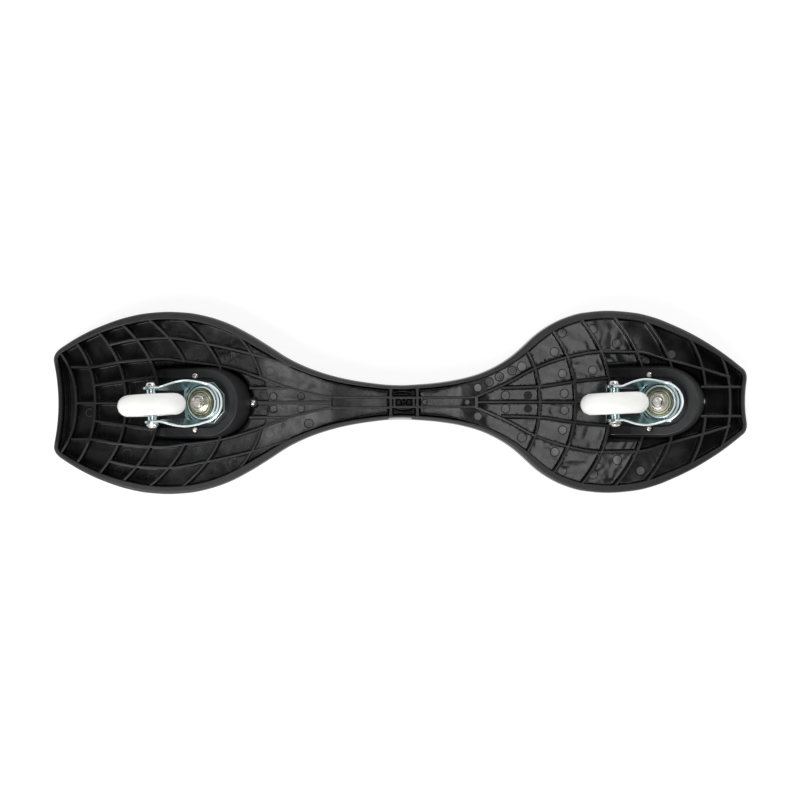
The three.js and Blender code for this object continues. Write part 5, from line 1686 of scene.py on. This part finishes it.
def add_caster(end):
    """One caster's pieces, on its seat, on its fork or on its axle."""
    fixed, turning = seats[end], swivels[end]
    axle = turning @ Matrix.Translation(Vector((-TRAIL, 0, AXLE_HEIGHT)) * MM)
    wheel = axle @ Matrix.Rotation(-math.pi / 2, 4, "X")
    away = wheel @ Matrix.Rotation(math.pi, 4, "X")
    side = Matrix.Translation((0, 0, (HUB_HALF - BEARING_WIDTH / 2) * MM))
    spacer = (BEARING_BORE, SPACER_RADIUS, SPACER_NEAR, SPACER_FAR)
    shapes = [
        ("mount_plate", mount_plate(), fixed), ("lower_race", lower_race(), fixed),
        ("top_cone", top_cone(), fixed),
        ("kingpin_nut", kingpin_nut(), fixed @ Matrix.Rotation(NUT_TURNS[end], 4, "Z")),
        ("kingpin_bolt", kingpin_bolt(), fixed), ("lower_balls", balls(*LOWER_BALLS), turning),
        ("upper_balls", balls(*UPPER_BALLS), turning), ("fork", fork(), turning),
        ("axle_bolt", axle_bolt(), wheel), ("axle_nut", axle_nut(), away),
        ("axle_spacer_left", tube("spacer", *spacer), wheel),
        ("axle_spacer_right", tube("spacer", *spacer), away),
        ("bearing_sleeve", tube("sleeve", BEARING_BORE, SLEEVE_OUTER, -SLEEVE_HALF, SLEEVE_HALF), wheel),
        ("wheel_bearing_left", bearing(), wheel @ side),
        ("wheel_bearing_right", bearing(), wheel @ side.inverted()),
        ("wheel_hub", wheel_hub(), wheel), ("tyre", tyre(), wheel),
    ]
    for name, obj, matrix in shapes:
        obj.name = f"{end}_{name}_fine"
        dress(place(smooth_shading(obj), matrix), f"{end}_{name}")


twist(deck_piece(), "deck_tail", "deck_neck", "deck_nose")
twist(smooth_shading(neck_badge()), "neck_badge")
screws = {reach: pad_screw(reach) for reach in set(SCREW_REACH_MM.values())}
for end in seats:
    dress(foot_pad(end), f"{end}_foot_pad").name = f"{end}_foot_pad_fine"
    for key, at in screw_places(end).items():
        screw = copied(screws[SCREW_REACH_MM[key]], f"{end}_pad_screw_{key}_fine")
        dress(place(screw, Matrix.Translation(at + Vector((0, 0, SCREW_SEAT)))), f"{end}_pad_screw_{key}")
    add_caster(end)
for screw in screws.values():
    bpy.data.objects.remove(screw)

# Camera, straight above as in the photograph
CAMERA_PLACE = (-0.0003, 0.0028, 2.05)
CAMERA_ROLL = -0.15
CAMERA_LENS = 75.06

camera_data = bpy.data.cameras.new("camera")
camera_data.lens = CAMERA_LENS
camera_data.sensor_width = 36
camera = bpy.data.objects.new("camera", camera_data)
camera.location = CAMERA_PLACE
camera.rotation_euler = (0, 0, math.radians(CAMERA_ROLL))
bpy.context.scene.collection.objects.link(camera)
bpy.context.scene.camera = camera


# Stage

def area_light(name, place_at, look_at, size, power):
    """A rectangular light that faces a point."""
    data = bpy.data.lights.new(name, "AREA")
    data.shape, data.energy = "RECTANGLE", power
    data.size, data.size_y = size
    lamp = bpy.data.objects.new(name, data)
    lamp.location = place_at
    lamp.rotation_euler = (Vector(look_at) - Vector(place_at)).to_track_quat("-Z", "Y").to_euler()
    bpy.context.scene.collection.objects.link(lamp)
    return lamp


area_light("key", (-0.9, -1.3, 1.7), (0, 0, 0), (1.4, 0.9), 36)
area_light("fill", (1.1, 1.3, 1.6), (0, 0, 0), (1.4, 0.9), 16)
area_light("gloss", (0.29, 0, 2.15), (0.15, 0, 0), (0.5, 0.5), 1.8)
area_light("neck_gloss", (-0.22, 0, 2.12), (-0.11, 0, 0), (0.16, 0.3), 1.7)


def floor_finish():
    """A pale floor, white by its own colour and a glow that keeps the shadow faint."""
    material = bpy.data.materials.new("floor")
    material.use_nodes = True
    tree = material.node_tree
    wired(tree, tree.nodes["Principled BSDF"], {
        "Base Color": (0.3, 0.3, 0.3, 1), "Roughness": 0.9, "Specular IOR Level": 0,
        "Emission Color": (1, 1, 1, 1), "Emission Strength": 0.8})
    return material


def studio_world():
    """A lit tent, white near the horizon. Overhead it is dark where the camera looks through, and at mid
    height it is dark towards both ends of the board and bright along its sides."""
    world = bpy.data.worlds.new("studio")
    world.use_nodes = True
    tree = world.node_tree
    direction = tree.nodes.new("ShaderNodeTexCoord").outputs["Generated"]
    x, _, z = linked(tree, "ShaderNodeSeparateXYZ", {"Vector": direction}).outputs
    smooth = {"interpolation_type": "SMOOTHSTEP"}
    tent = ranged(tree, z, 0.6, 0.95, 0.95, 0.06, **smooth)
    sides = ranged(tree, combined(tree, "ABSOLUTE", x), 0.25, 0.65, 1, 0.1, **smooth)
    horizon = ranged(tree, z, 0.3, 0.6, 1, 0, **smooth)
    strength = combined(tree, "MAXIMUM", combined(tree, "MULTIPLY", tent, sides), horizon)
    wired(tree, tree.nodes["Background"], {"Color": (1, 1, 1, 1), "Strength": strength})
    return world


floor = make_object("floor", [(-4, -4, 0), (4, -4, 0), (4, 4, 0), (-4, 4, 0)], [(0, 1, 2, 3)])
floor.data.materials.append(floor_finish())
bpy.context.scene.world = studio_world()
bpy.context.scene.view_settings.view_transform = "Standard"
